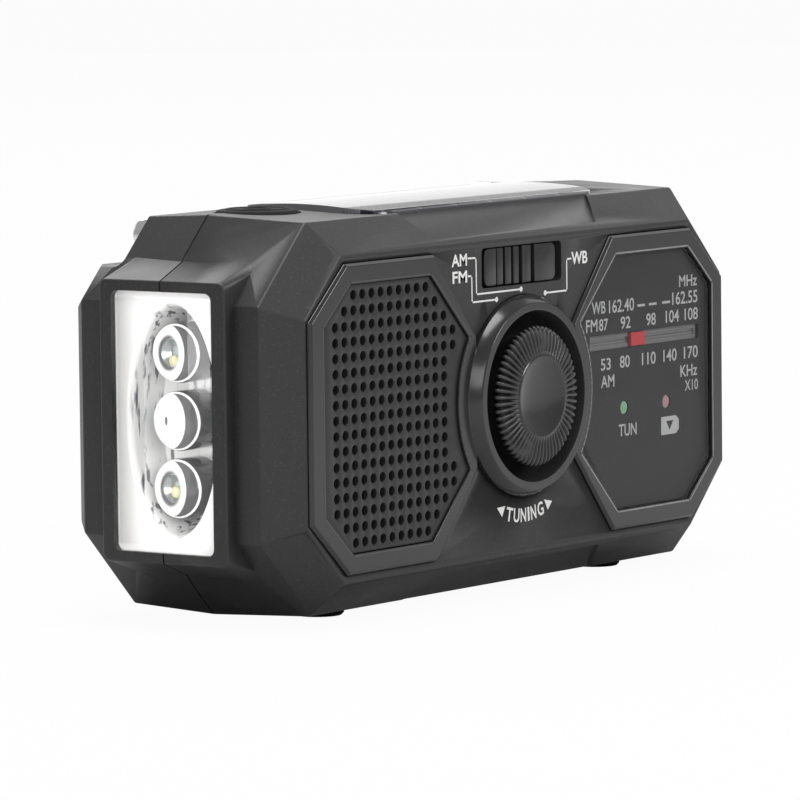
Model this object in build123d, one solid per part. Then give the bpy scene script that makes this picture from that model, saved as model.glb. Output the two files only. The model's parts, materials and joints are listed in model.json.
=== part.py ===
from build123d import *
import math
import os

# Emergency radio: an eight-sided hand-held case in two moulded shells.
# All sizes are in millimetres. While it is modelled, X runs along the case (right is +),
# Y is the depth behind the front face and Z the height above the middle of the case.
# At the end every piece moves so that the origin is the bottom centre of the whole radio.

# ---- case ----
face_half_w = 58.2          # front face, half its width
face_half_h = 25.3          # front face, half its height
face_corner = 9.3           # leg of the 45 degree corner cuts of the front face
band = 5.2                  # width of the 45 degree bevel round the front face
crown = 0.75                # how far the moulding draft carries the sides out at the parting line
parting_y = 23.6            # depth of the joint between the two shells
rear_edge_y = 39.4          # depth where the rear bevel starts
rear_band = 3.3             # width of the 45 degree bevel round the back
wall = 2.0                  # wall thickness of both shells
edge_r = 0.7                # soft edges of the case
fit_gap = 0.15              # clearance round a piece that sits in a pocket
slip = 0.05                 # radial clearance of a shaft in its bearing
shadow_gap = 0.3            # width and depth of the groove along the joint of the shells

# ---- torch end ----
snout_x = 65.8              # distance of the torch bezel's face from the middle
snout_root_x = 50.0         # the bezel's sloping sides end here, inside the case
snout_long_r = 1.2          # soft edges along the bezel
snout_rim_r = 0.5           # soft rim of its face
snout_y0 = 9.8
snout_y1 = 34.1
snout_half_h = 21.8         # half height of the bezel face
snout_slope = 0.337         # rise of the bezel's top per unit towards the middle
snout_parting_y = 22.1      # the joint runs to the middle of the bezel's face
torch_y = 22.0              # middle of the torch window
window_half_w = 9.7
window_half_h = 20.2
window_r = 1.2
lens_sink = 0.6             # the lens lies this far below the bezel's face
lens_lip = 1.0              # thickness of the bezel in front of the lens flange
lens_flange = 0.9
lens_thick = 1.6            # thickness of the lens flange
bowl_half_w = 8.5           # mouth of the oval reflector
bowl_half_h = 18.1
bowl_depth = 6.8
bowl_wall = 0.6
bowl_taper = 0.86           # size of the bowl's floor as a share of its mouth
bowl_facets = 28
reflector_plate = 0.8
torch_fit = 0.05            # play between the lens, the reflector and their seats
torch_board_half_w = 8.5
torch_board_half_h = 16.0
torch_board_thick = 1.0
torch_board_gap = 0.3       # from the bowl's floor to the board behind it
led_pitch = 10.5
led_r = 4.7
led_dome = 2.4              # height of the lamps' shallow domes
led_dome_steps = 4
led_height = 7.3

# ---- front trim, grille and dial ----
trim_proud = 0.75
trim_seat = 1.2             # depth of the trim's seat in the front shell
trim_half_w = 57.9
trim_half_h = 24.1
trim_shoulder = 15.6        # height where the trim's outer corner cuts start
trim_top_x = 48.4           # where those cuts end
trim_inner_x = 24.8         # inner end of the trim's straight top
trim_neck_x = 13.5          # where the trim runs into the ring
trim_neck_z = 10.5
pane_half_w = 54.35         # the octagonal panes of grille and dial
pane_half_h = 20.9
pane_shoulder = 14.6
pane_top_x = 47.3
pane_inner_x = 26.0
pane_neck_x = 15.9
pane_neck_z = 10.6
pane_arc_r = 18.9           # the panes curve round the knob
pane_sink = 0.4             # the panes lie this far below the trim
pane_ledge = 1.0            # width of the ledge that carries the panes
ring_r = 15.4               # collar round the tuning knob
ring_flare = 0.8
ring_proud = 2.65
ring_lip = 1.65
grille_pitch = 2.4
grille_cols = 14
grille_rows = 17
grille_x0 = -50.98          # first column of holes
hole_r = 0.78
hole_sides = 6
hole_margin = 2.6           # from the panes' curve to the nearest hole
dial_window_thick = 0.8
slot_x0 = 19.9              # pointer slot of the dial
slot_x1 = 52.3
slot_z = 6.65
slot_h = 2.5
slot_corner = 0.3
track_half_h = 2.1
track_thick = 0.6
track_slit = 1.0
pointer_x = 34.2            # where the pointer stands
pointer_w = 4.1
pointer_stem_half_w = 1.2
pointer_stem_half_h = 0.35
dial_gap = 0.05             # play between window, plate, track and pointer
led_dot_r = 1.15            # holes for the two indicator lamps
led_body_r = 1.5
tuning_led_x = 29.9
battery_led_x = 42.4
led_dot_z = -4.4

# ---- tuning drive ----
knob_r = 11.1
knob_rim_y = -3.0
knob_face_y = -3.9
knob_disc_r = 6.5
knob_dish = 0.7
knob_flare = 0.2            # the rim is this much wider at its back
knob_ridge = 0.4            # depth of the ridges
knob_ridges = 60
knob_back_y = 1.6
knob_well_y = 2.6           # floor of the well round the knob
knob_shaft_r = 3.0
gear_module = 0.6           # tuning gears and the fast dynamo stage
pinion_teeth = 18
capacitor_teeth = 30
tuning_gear_y0 = 9.6
tuning_gear_y1 = 12.0
gear_addendum = 0.85        # tooth height above the pitch circle, in modules
gear_backlash = 0.12        # play between meshing teeth
gear_undercut = 0.25        # how much the tooth's foot narrows below the base circle
pinion_bore_r = 2.0
capacitor_shaft_r = 1.5
rack_top_z = 8.1
slider_step_x1 = 18.0       # where the rack steps forward to the pointer's bar
bar_y0 = 5.0
bar_thick = 2.0
slider_step = 3.0           # length of the step between rack and bar
rack_end = 1.0              # plain end of the rack beyond its last tooth
rack_teeth_left = 10        # rack teeth left and right of the pinion at rest
rack_teeth_right = 8

# ---- boards and inner parts ----
board_y = 13.0
board_thick = 1.6
board_torch_gap = 2.95      # between the torch's board and the main board
board_right = 56.0
board_half_h = 24.5
board_left_cut = 7.0        # corner cuts of the main board
board_right_cut = 9.0
post_x = 49.0
post_top_z = 19.0
post_low_z = -20.5
post_r = 2.6
post_collar = 0.6           # the rear shell's posts are this much thicker
screw_r = 1.1
screw_head_r = 2.3
screw_seat_y = 36.0
bush_r = 4.6
bush_flange = 1.6
bush_flange_thick = 0.6
antenna_screw_r = 1.5
speaker_x = -36.0
speaker_r = 19.0
speaker_depth = 6.9
speaker_y = 2.1
capacitor_half = 10.0       # half side of the tuning capacitor's square body
capacitor_depth = 7.4
socket_wall = 0.35
usb_a_x0 = 48.5
usb_c_x0 = 54.5
pot_r = 6.5
pot_shaft_r = 1.5
battery_x0 = -54.5
battery_gap = 1.5           # between the cell and the wall of the crank's well
battery_y0 = 31.0
battery_z0 = -17.0
battery_z1 = 14.0
battery_r = 3.0

# ---- band switch ----
switch_half_w = 11.2
switch_z = 21.0
switch_half_h = 3.2
switch_travel = 1.25
slider_half_w = 9.8
slider_sink = 0.3
slider_pad = 0.2            # gap between the slider and the edges of its hole
slider_ridge_pitch = 1.9
slider_flange = 1.5         # how far the slider's flange reaches past the hole
slider_peg_w = 3.0
slider_peg_h = 1.8
slider_peg_y = 8.0
switch_body_half_w = 6.5
switch_body_half_h = 3.0
switch_body_y0 = 5.4

# ---- top ----
panel_half_w = 32.5
panel_y0 = 5.9
panel_y1 = 33.2
panel_corner = 6.0
panel_base_z = 29.7
panel_front_z = 30.8
panel_top_z = 31.95
panel_rear_z = 31.1
cell_side = 3.5             # clear border of the cover beside the cell
cell_margin = 3.2
button_gap = 1.6            # between the solar panel and the button
button_y = 22.0
button_r = 6.7
button_travel = 0.8
button_top_z = 31.7
button_flange_z = 28.6
button_flange = 0.9
button_edge = 0.45
button_stem_r = 1.5
switch_plunger_z = 26.2
press_switch_z0 = 21.4
press_switch_board = 1.0
press_switch_top_z = 25.9
press_switch_half = 3.0
press_plunger_r = 1.7
press_board_gap = 0.5       # between the switch's board and the screw post beside it
press_board_right = 5.5
press_board_half_y = 6.0
recess_outer_x = 26.4       # shallow panels in the bevels above and below the face
recess_inner_x = 23.0
recess_start = 1.1
recess_depth = 0.45

# ---- antenna ----
antenna_y = 39.6
antenna_z = 27.4
antenna_wall_y = 35.3       # wall of the step that the antenna lies in
antenna_shelf_z = 23.1
antenna_pivot_x = 46.0
antenna_elbow_x = 39.5
antenna_tip_x = -47.6
antenna_r = 2.3
antenna_step = 0.45         # each section is this much smaller in radius
antenna_slip = 0.1
antenna_sections = 4
antenna_cap = 2.2
knuckle_r = 3.5
knuckle_y0 = 37.4
knuckle_y1 = 41.3
elbow_pin_r = 0.8
elbow_half_h = 2.3
elbow_tongue = 1.7          # half width of the tongue in the elbow
elbow_slot = 0.95           # half height of the slot in the knuckle
antenna_boss_gap = 0.1

# ---- crank and dynamo ----
crank_x = 10.0
crank_z = -10.0
crank_well_r = 31.0
crank_floor_y = 33.9
crank_gap = 0.6             # between the arm's end and the wall of the well
crank_arm_w = 15.0
crank_arm_y0 = 35.1
crank_arm_y1 = 41.5
crank_shaft_r = 3.5
grip_r = 4.0
grip_length = 14.5
grip_inset = 5.0            # from the grip's hinge to the wall of the well
crank_module = 0.8
crank_teeth = 40
idler_small_teeth = 12
idler_big_teeth = 36
rotor_teeth = 12
idler_angle = 70.0
rotor_angle = 20.0
gear_a_y0 = 28.2
gear_a_y1 = 31.4
gear_b_y0 = 24.5
gear_b_y1 = 27.4
generator_r = 11.0
generator_y0 = 15.6
generator_y1 = 23.5
can_wall = 3.0
can_end = 0.9
rotor_gap = 0.6             # radial play of the rotor in the can
rotor_end_gap = 0.5
plate_y0 = 23.5
plate_y1 = 24.2
plate_edge = 2.4            # the plate's rim round the middle of each of its posts
plate_post_r = 2.2
plate_post_gap = 0.3        # between a post and the wall of the crank's well
plate_left_x = -2.0
plate_left_z = 12.0
plate_top_x = 30.5
plate_top_z = 25.0
plate_right_z = 5.0
plate_low_z = -3.0
idler_pin_r = 1.0
rotor_shaft_r = 1.0
crank_core_r = 2.4
crank_square_half = 2.1
grip_pin_r = 1.0
grip_pin_half = 6.6
grip_spindle_r = 1.6
grip_head_r = 2.6
grip_head = 1.0
grip_barrel_r = 3.1
grip_start = 3.5            # from the hinge to the sleeve
crank_arm_edge = 0.6
crank_head_sink = 1.6       # depth of the screw's seat in the arm

# ---- right end ----
wheel_x = 56.3
wheel_z = 6.0
wheel_r = 9.5
wheel_y0 = 9.2
wheel_y1 = 12.2
wheel_notches = 36
wheel_notch = 0.6
port_y0 = 6.9
port_y1 = 19.3
port_z = -11.0
port_half_h = 7.3
port_depth = 1.2
port_thick = 1.1
port_hinge_r = 0.5

usb_a_y = 10.1
usb_a_half_y = 2.85
usb_a_half_z = 6.6
usb_c_y = 16.3
usb_c_half_y = 1.6
usb_c_half_z = 4.5

# ---- feet ----
foot_x = 38.8
foot_front_y = 12.5
foot_rear_y = 32.3
foot_r = 4.0
foot_bottom_z = -31.9
foot_thick = 2.0

# ---- aerial coil ----
ferrite_gap = 2.3           # between the aerial's rod and the button's switch
ferrite_x1 = 8.0
ferrite_y = 26.5
ferrite_z = 22.5
ferrite_r = 4.0
coil_r = 4.7
coil_half = 8.0

# ---- worked out from the sizes above ----
dial_window_y0 = pane_sink - trim_proud
dial_plate_y0 = dial_window_y0 + dial_window_thick + dial_gap
track_y0 = trim_seat - dial_gap
grip_y = (crank_arm_y0 + crank_arm_y1) / 2
case_depth = rear_edge_y + rear_band
outer_half_w = face_half_w + band
reflector_x = -snout_x + lens_lip + lens_thick + torch_fit
torch_board_x = reflector_x + bowl_depth + bowl_wall + torch_board_gap
board_left = -torch_board_x - torch_board_thick - board_torch_gap
button_x = -(panel_half_w + button_gap + button_r)
cell_half_w = panel_half_w - cell_side
press_board_x0 = -post_x + post_r + post_collar + press_board_gap
ferrite_x0 = button_x + press_board_right + ferrite_gap
grip_pivot = crank_well_r - grip_inset
battery_x1 = crank_x - crank_well_r - wall - battery_gap
plate_right_x = crank_x + crank_well_r + wall + plate_post_gap + plate_post_r
pinion_r = gear_module * pinion_teeth / 2
capacitor_r = gear_module * capacitor_teeth / 2
capacitor_z = -(pinion_r + capacitor_r)
crank_gear_r = crank_module * crank_teeth / 2
idler_small_r = crank_module * idler_small_teeth / 2
idler_big_r = gear_module * idler_big_teeth / 2
rotor_r = gear_module * rotor_teeth / 2


def polar(radius, degrees):
    return radius * math.cos(math.radians(degrees)), radius * math.sin(math.radians(degrees))


idler_dx, idler_dz = polar(crank_gear_r + idler_small_r, idler_angle)
idler_x = crank_x + idler_dx
idler_z = crank_z + idler_dz
rotor_dx, rotor_dz = polar(idler_big_r + rotor_r, rotor_angle)
rotor_x = idler_x + rotor_dx
rotor_z = idler_z + rotor_dz


# ---- drawing helpers ----
def front_plane(y):
    """A plane across the depth: its own x is X and its own y is Z."""
    return Plane(origin=(0, y, 0), x_dir=(1, 0, 0), z_dir=(0, -1, 0))


def slab(sketch, y0, y1):
    """Push a front-view sketch through the depth from y0 to y1."""
    return extrude(front_plane(y0) * sketch, amount=y0 - y1)


def rod(radius, x, z, y0, y1):
    """A round bar along the depth."""
    return slab(Pos(x, z) * Circle(radius), y0, y1)


def block(x0, x1, y0, y1, z0, z1):
    return Pos((x0 + x1) / 2, (y0 + y1) / 2, (z0 + z1) / 2) * Box(x1 - x0, y1 - y0, z1 - z0)


def bar_x(radius, x0, x1, y, z):
    """A round bar along the length of the case."""
    return extrude(Plane(origin=(x0, y, z), z_dir=(1, 0, 0)) * Circle(radius), amount=x1 - x0)


def bar_z(radius, x, y, z0, z1):
    """A round upright bar."""
    return extrude(Pos(x, y, z0) * Circle(radius), amount=z1 - z0)


def ridged(count, outer_r, inner_r):
    """A round outline with a number of small ridges between two radii."""
    corners = []
    for step in range(count):
        corners.append(polar(outer_r, 360 / count * step))
        corners.append(polar(inner_r, 360 / count * (step + 0.5)))
    return make_face(Polyline(*corners, close=True))


def turned(profile_points, x=0.0, z=0.0):
    """Revolve an outline of (radius, depth) points about the axis along Y at x, z."""
    profile = Plane.XY * make_face(Polyline(*profile_points, close=True))
    return Pos(x, 0, z) * revolve(profile, Axis.Y)


# ---- case shape ----
def case_outline(spread, y):
    """The case's eight-sided section, grown by spread from the front face."""
    half_w = face_half_w + spread
    half_h = face_half_h + spread
    corner = face_corner + spread * (2 - math.sqrt(2))
    quarter = [(half_w, half_h - corner), (half_w - corner, half_h)]
    upper = quarter + [(-x, z) for x, z in reversed(quarter)]
    lower = [(-x, -z) for x, z in upper]
    return front_plane(y) * make_face(Polyline(*(upper + lower), close=True))


def case_block():
    """The whole outer shape: front bevel, drafted sides and rear bevel."""
    sections = [
        case_outline(0, 0),
        case_outline(band, band),
        case_outline(band + crown, parting_y),
        case_outline(band, rear_edge_y),
        case_outline(band - rear_band, case_depth),
    ]
    body = loft(sections, ruled=True)
    creased = [e for e in body.edges() if abs(e.center().Y - parting_y) > 1]
    return fillet(creased, edge_r)


def case_hollow():
    """The space inside the walls."""
    bevel_shift = wall * (math.sqrt(2) - 1)
    sections = [
        case_outline(-bevel_shift, wall),
        case_outline(band - wall, band + bevel_shift),
        case_outline(band + crown - wall, parting_y),
        case_outline(band - wall, rear_edge_y - bevel_shift),
        case_outline(band - rear_band - bevel_shift, case_depth - wall),
    ]
    return loft(sections, ruled=True)


def snout_block(inset=0.0):
    """The raised torch bezel; an inset gives its inner space."""
    face = snout_x - inset
    face_z = snout_half_h - inset
    root_z = face_z + (face - snout_root_x) * snout_slope
    side = [(-face, -face_z), (-face, face_z), (-snout_root_x, root_z), (-snout_root_x, -root_z)]
    return slab(make_face(Polyline(*side, close=True)), snout_y0 + inset, snout_y1 - inset)


def soft_snout():
    body = snout_block()
    long_edges = [e for e in body.edges() if -snout_x + 1 < e.center().X < -snout_root_x - 1]
    body = fillet([e for e in long_edges if abs(e.center().Z) > 1], snout_long_r)
    rim = [e for e in body.edges() if abs(e.center().X + snout_x) < 0.01]
    return fillet(rim, snout_rim_r)


def torch_opening():
    """Window, lens seat and reflector space of the torch."""
    face_plane = Plane(origin=(-snout_x - 1, torch_y, 0), x_dir=(0, 1, 0), z_dir=(1, 0, 0))
    window = extrude(face_plane * RectangleRounded(2 * window_half_w, 2 * window_half_h, window_r), amount=4)
    seat_w = window_half_w + lens_flange + fit_gap
    seat_h = window_half_h + lens_flange - 0.1 + fit_gap
    seat_x = -snout_x + lens_lip
    seat = block(seat_x, -face_half_w + 2, torch_y - seat_w, torch_y + seat_w, -seat_h, seat_h)
    return window + seat


def bevel_recess(sign):
    """The shallow panel in the bevel above (+1) or below (-1) the face."""
    bevel = Plane(origin=(0, 0, sign * face_half_h), x_dir=(1, 0, 0), z_dir=(0, -1, sign))
    uphill = 1 if bevel.y_dir.Y > 0 else -1
    start = recess_start * math.sqrt(2)
    edge = band * math.sqrt(2)
    overrun = 2.0
    flare = (recess_outer_x - recess_inner_x) / (edge - start)
    far_x = recess_outer_x + flare * overrun
    trapezoid = [
        (-recess_inner_x, uphill * start),
        (recess_inner_x, uphill * start),
        (far_x, uphill * (edge + overrun)),
        (-far_x, uphill * (edge + overrun)),
    ]
    return extrude(bevel.offset(-recess_depth) * make_face(Polyline(*trapezoid, close=True)), amount=3)


def antenna_step_cut():
    """The step along the top rear edge that holds the antenna."""
    top = panel_top_z + 5
    far_x = outer_half_w + 5
    step = block(-far_x, far_x, antenna_wall_y, case_depth + 5, antenna_shelf_z, top)
    along = step.edges().filter_by(Axis.X)
    inner = [e for e in along if e.center().Y < antenna_wall_y + 1 and e.center().Z < antenna_shelf_z + 1]
    return fillet(inner, 1.5)


def antenna_boss():
    """Round foot that carries the antenna's knuckle clear of the step's wall."""
    start_y = antenna_wall_y - antenna_boss_gap
    return rod(knuckle_r, antenna_pivot_x, antenna_z, start_y, knuckle_y0 - antenna_boss_gap)


def antenna_step_wall():
    """Material that closes the case behind the step."""
    inner_y = antenna_wall_y - wall
    return block(-outer_half_w, outer_half_w, inner_y, case_depth, antenna_shelf_z - wall, panel_top_z)


def crank_well_wall():
    return rod(crank_well_r + wall, crank_x, crank_z, crank_floor_y - wall, case_depth)


def crank_well_cut():
    return rod(crank_well_r, crank_x, crank_z, crank_floor_y, case_depth + 1)


def joint_line(far, shift=0.0):
    """The joint between the shells seen from above, from right to left."""
    bend_x = -face_half_w + 1
    across = [(far, parting_y), (bend_x, parting_y), (-snout_x, snout_parting_y), (-far, snout_parting_y)]
    return [(x, y + shift) for x, y in across]


def parting_tool(side_y):
    """Everything on one side of the joint between the shells: side_y is -1 in front, +1 behind."""
    far = 90
    corners = [(-far, side_y * far), (far, side_y * far)] + joint_line(far)
    return extrude(make_face(Polyline(*corners, close=True)), amount=60, both=True)


def seam_groove():
    """Narrow shadow gap all round the case along the joint."""
    far = 80
    half = shadow_gap / 2
    corners = joint_line(far, -half) + joint_line(far, half)[::-1]
    strip = extrude(make_face(Polyline(*corners, close=True)), amount=50, both=True)
    spread = band + crown - shadow_gap
    middle = loft([case_outline(spread, parting_y - 5), case_outline(spread, parting_y + 5)], ruled=True)
    return strip - middle - snout_block(shadow_gap)


def solar_pocket(gap):
    middle_y = (panel_y0 + panel_y1) / 2
    outline = RectangleRounded(2 * (panel_half_w + gap), panel_y1 - panel_y0 + 2 * gap, panel_corner + gap)
    return extrude(Pos(0, middle_y, panel_base_z - gap) * outline, amount=10)


def solar_cell_opening(gap):
    half_w = cell_half_w + gap
    y0 = panel_y0 + cell_margin - gap
    y1 = panel_y1 - cell_margin + gap
    return block(-half_w, half_w, y0, y1, panel_base_z - 6, panel_base_z + 1)


def screw_places():
    return [(x, z) for x in (-post_x, post_x) for z in (post_top_z, post_low_z)]


def foot_places():
    return [(x, y) for x in (-foot_x, foot_x) for y in (foot_front_y, foot_rear_y)]


def shared_cuts():
    """Openings that cross from one shell into the other."""
    cuts = [torch_opening(), solar_pocket(fit_gap), solar_cell_opening(fit_gap)]
    cuts += [bevel_recess(1), bevel_recess(-1), seam_groove()]
    cuts.append(bar_z(button_r + 0.25, button_x, button_y, panel_base_z - 4, panel_top_z + 2))
    foot_top = foot_bottom_z + foot_thick
    for x, y in foot_places():
        cuts.append(bar_z(foot_r + 0.1, x, y, foot_bottom_z - 1, foot_top))
    return cuts


def whole_case():
    outer = case_block() + soft_snout()
    torch_front_x = -snout_x + lens_lip + 3
    snout_hollow = snout_block(wall) - block(-80, torch_front_x, 0, case_depth, -40, 40)
    hollow = case_hollow() + snout_hollow - antenna_step_wall() - crank_well_wall()
    body = outer - hollow - antenna_step_cut() - crank_well_cut() + antenna_boss()
    for cut in shared_cuts():
        body = body - cut
    return body


# ---- front panes and trim ----
def trim_outline():
    half = [
        (trim_neck_x, trim_neck_z), (trim_inner_x, trim_half_h), (trim_top_x, trim_half_h),
        (trim_half_w, trim_shoulder), (trim_half_w, -trim_shoulder), (trim_top_x, -trim_half_h),
        (trim_inner_x, -trim_half_h), (trim_neck_x, -trim_neck_z),
    ]
    right = make_face(Polyline(*half, close=True))
    left = make_face(Polyline(*[(-x, z) for x, z in half], close=True))
    return right + left + Circle(ring_r + ring_flare)


def pane_outline(side, inset=0.0):
    """The octagonal opening of the grille (side -1) or of the dial (side +1)."""
    half = [
        (pane_neck_x, pane_neck_z), (pane_inner_x, pane_half_h), (pane_top_x, pane_half_h),
        (pane_half_w, pane_shoulder), (pane_half_w, -pane_shoulder), (pane_top_x, -pane_half_h),
        (pane_inner_x, -pane_half_h), (pane_neck_x, -pane_neck_z),
    ]
    pane = make_face(Polyline(*[(side * x, z) for x, z in half], close=True)) - Circle(pane_arc_r)
    if inset:
        pane = offset(pane, -inset, kind=Kind.INTERSECTION)
    return pane


def front_trim():
    top = slab(trim_outline(), -trim_proud, trim_seat)
    front_rim = [e for e in top.edges() if abs(e.center().Y + trim_proud) < 0.01]
    top = chamfer(front_rim, 0.45)
    collar = turned([
        (0, trim_seat), (0, -ring_proud), (ring_r - 0.4, -ring_proud), (ring_r, -ring_proud + 0.4),
        (ring_r + ring_flare, -trim_proud), (ring_r + ring_flare, trim_seat),
    ])
    body = top + collar - rod(ring_r - ring_lip, 0, 0, -ring_proud - 1, trim_seat + 1)
    for side in (-1, 1):
        body = body - slab(pane_outline(side), -trim_proud - 1, trim_seat + 1)
    return body


def grille_holes():
    """Square field of holes, stepped in at the corners and kept clear of the knob's collar."""
    middle_row = (grille_rows - 1) // 2
    places = []
    for row in range(grille_rows):
        from_middle = abs(row - middle_row)
        first = max(0, from_middle - (middle_row - 2))
        last = grille_cols - 1 - max(0, from_middle - (middle_row - 3))
        for col in range(first, last + 1):
            x = grille_x0 + col * grille_pitch
            z = (row - middle_row) * grille_pitch
            if math.hypot(x, z) > pane_arc_r + hole_margin:
                places.append((x, z))
    return places


def speaker_grille():
    plate = slab(pane_outline(-1, 0.1), -trim_proud + pane_sink, trim_seat)
    drills = Sketch() + [Pos(x, z) * RegularPolygon(hole_r, hole_sides) for x, z in grille_holes()]
    return plate - slab(drills, -trim_proud - 1, trim_seat + 1)


def open_pane(side, y0, y1):
    return slab(pane_outline(side, pane_ledge), y0, y1)


# ---- shells ----
def wheel_slot():
    """Slot in the right end that the volume wheel shows through."""
    return rod(wheel_r + 0.5, wheel_x, wheel_z, wheel_y0 - 0.4, wheel_y1 + 0.4)


def port_recess():
    """Seat of the port cover, and the mouths of the sockets behind it."""
    face_x = outer_half_w + crown
    seat = block(face_x - port_depth, face_x + 3, port_y0 - fit_gap, port_y1 + port_hinge_r + 0.75,
                 port_z - port_half_h - fit_gap, port_z + port_half_h + fit_gap)
    usb_a = block(face_x - 5, face_x, usb_a_y - usb_a_half_y - 0.3, usb_a_y + usb_a_half_y + 0.3,
                  port_z - usb_a_half_z - 0.3, port_z + usb_a_half_z + 0.3)
    usb_c = block(face_x - 5, face_x, usb_c_y - usb_c_half_y - 0.3, usb_c_y + usb_c_half_y + 0.3,
                  port_z - usb_c_half_z - 0.3, port_z + usb_c_half_z + 0.3)
    return seat + usb_a + usb_c


def front_shell(case):
    body = case - parting_tool(1)
    body = body + slab(Circle(ring_r + ring_flare), trim_seat, knob_well_y + wall)
    for x, z in screw_places():
        body = body + rod(post_r, x, z, wall - 0.1, parting_y - 0.1)
    body = body - slab(offset(trim_outline(), 0.1), -5, trim_seat)
    for side in (-1, 1):
        body = body - open_pane(side, 0, 3.2)
    body = body - rod(ring_r - ring_lip, 0, 0, -1, knob_well_y)
    body = body - rod(knob_shaft_r + slip, 0, 0, 0, 10)
    switch_hole = RectangleRounded(2 * switch_half_w, 2 * switch_half_h, 0.8)
    body = body - slab(Pos(0, switch_z) * switch_hole, -5, 10)
    for x, z in screw_places():
        body = body - rod(screw_r + slip, x, z, 8, parting_y)
    return body - wheel_slot() - port_recess()


def rear_shell(case):
    body = case - parting_tool(-1)
    for x, z in screw_places():
        body = body + rod(post_r + post_collar, x, z, parting_y + 0.1, case_depth - wall + 0.1)
    for x, z in screw_places():
        body = body - rod(screw_r + 0.2, x, z, parting_y - 1, case_depth + 1)
        body = body - rod(screw_head_r + 0.3, x, z, screw_seat_y, case_depth + 1)
    body = body - rod(bush_r, crank_x, crank_z, crank_floor_y - wall - 1, crank_floor_y + 1)
    return body - rod(antenna_screw_r, antenna_pivot_x, antenna_z, antenna_wall_y - 5, knuckle_y0)


# ---- gears ----
def involute(angle):
    return math.tan(angle) - angle


def gear_outline(teeth, module, x, z, tooth_at):
    """Spur gear seen from the front, with the middle of one tooth at the angle tooth_at (degrees)."""
    pressure = math.radians(20)
    pitch_r = module * teeth / 2
    base_r = pitch_r * math.cos(pressure)
    tip_r = pitch_r + gear_addendum * module
    root_r = pitch_r - 1.25 * module
    half_at_pitch = (math.pi * module / 2 - gear_backlash) / 2 / pitch_r

    def half_width(radius):
        if radius <= base_r:
            return half_at_pitch + involute(pressure) - gear_undercut * (base_r - radius) / pitch_r
        return half_at_pitch + involute(pressure) - involute(math.acos(base_r / radius))

    flank = [root_r, max(base_r, root_r + 0.2 * module), tip_r]
    points = []
    for tooth in range(teeth):
        middle = math.radians(tooth_at) + 2 * math.pi * tooth / teeth
        for radius in flank:
            points.append((radius, middle - half_width(radius)))
        for radius in reversed(flank):
            points.append((radius, middle + half_width(radius)))
    corners = [(x + r * math.cos(a), z + r * math.sin(a)) for r, a in points]
    return make_face(Polyline(*corners, close=True))


def rack_outline():
    """Toothed bar above the pinion, with a gap over the pinion's axis."""
    pitch = math.pi * gear_module
    slope = math.tan(math.radians(20))
    tip_z = pinion_r - gear_addendum * gear_module
    root_z = pinion_r + 1.25 * gear_module
    half_pitch_line = (pitch / 2 - gear_backlash) / 2
    half_tip = half_pitch_line - slope * gear_addendum * gear_module
    half_root = half_pitch_line + slope * 1.25 * gear_module
    end_x = -rack_teeth_left * pitch - rack_end
    points = [(end_x, rack_top_z), (end_x, root_z)]
    for tooth in range(-rack_teeth_left, rack_teeth_right):
        middle = (tooth + 0.5) * pitch
        points += [(middle - half_root, root_z), (middle - half_tip, tip_z)]
        points += [(middle + half_tip, tip_z), (middle + half_root, root_z)]
    points += [(slider_step_x1, root_z), (slider_step_x1, rack_top_z)]
    return make_face(Polyline(*points, close=True))


# ---- tuning ----
def knob_section(radius, y):
    """The knob's ridged outline at a depth; the ridges fade out towards the disc."""
    depth = knob_ridge * min(1, (radius - knob_disc_r) / 2)
    return front_plane(y) * ridged(knob_ridges, radius, radius - depth)


def tuning_knob():
    """Ridged rim and face, dished disc, and the shaft that carries the pinion."""
    rim_r = knob_r + knob_flare
    rim = slab(ridged(knob_ridges, rim_r, rim_r - knob_ridge), knob_rim_y + 0.5, knob_back_y)
    face = loft([
        knob_section(rim_r, knob_rim_y + 0.5),
        knob_section(knob_r - 0.5, knob_rim_y),
        knob_section(knob_disc_r + 0.2, knob_face_y + 0.1),
    ], ruled=True)
    core = turned([
        (0, knob_face_y + knob_dish), (knob_disc_r, knob_face_y), (knob_disc_r, 0), (knob_shaft_r, 0),
        (knob_shaft_r, tuning_gear_y0), (pinion_bore_r, tuning_gear_y0), (pinion_bore_r, tuning_gear_y1),
        (0, tuning_gear_y1),
    ])
    dish = turned([(0, knob_face_y + knob_dish), (knob_disc_r, knob_face_y), (0, knob_face_y - 1)])
    return rim + face + core - dish


def tuning_pinion():
    body = slab(gear_outline(pinion_teeth, gear_module, 0, 0, 90), tuning_gear_y0, tuning_gear_y1)
    return body - rod(pinion_bore_r, 0, 0, tuning_gear_y0 - 1, tuning_gear_y1 + 1)


def capacitor_gear():
    mesh_angle = 90 if pinion_teeth % 2 else 90 + 180 / capacitor_teeth
    outline = gear_outline(capacitor_teeth, gear_module, 0, capacitor_z, mesh_angle)
    shaft_end = board_y + board_thick + 2
    return slab(outline, tuning_gear_y0, tuning_gear_y1) + rod(
        capacitor_shaft_r, 0, capacitor_z, tuning_gear_y1 - 0.5, shaft_end)


def tuning_capacitor():
    half = capacitor_half
    y0 = board_y + board_thick
    body = block(-half, half, y0, y0 + capacitor_depth, capacitor_z - half, capacitor_z + half)
    body = chamfer(body.edges().filter_by(Axis.Y), 1.0)
    return body - rod(capacitor_shaft_r + slip, 0, capacitor_z, y0 - 1, y0 + 2.2)


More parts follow.
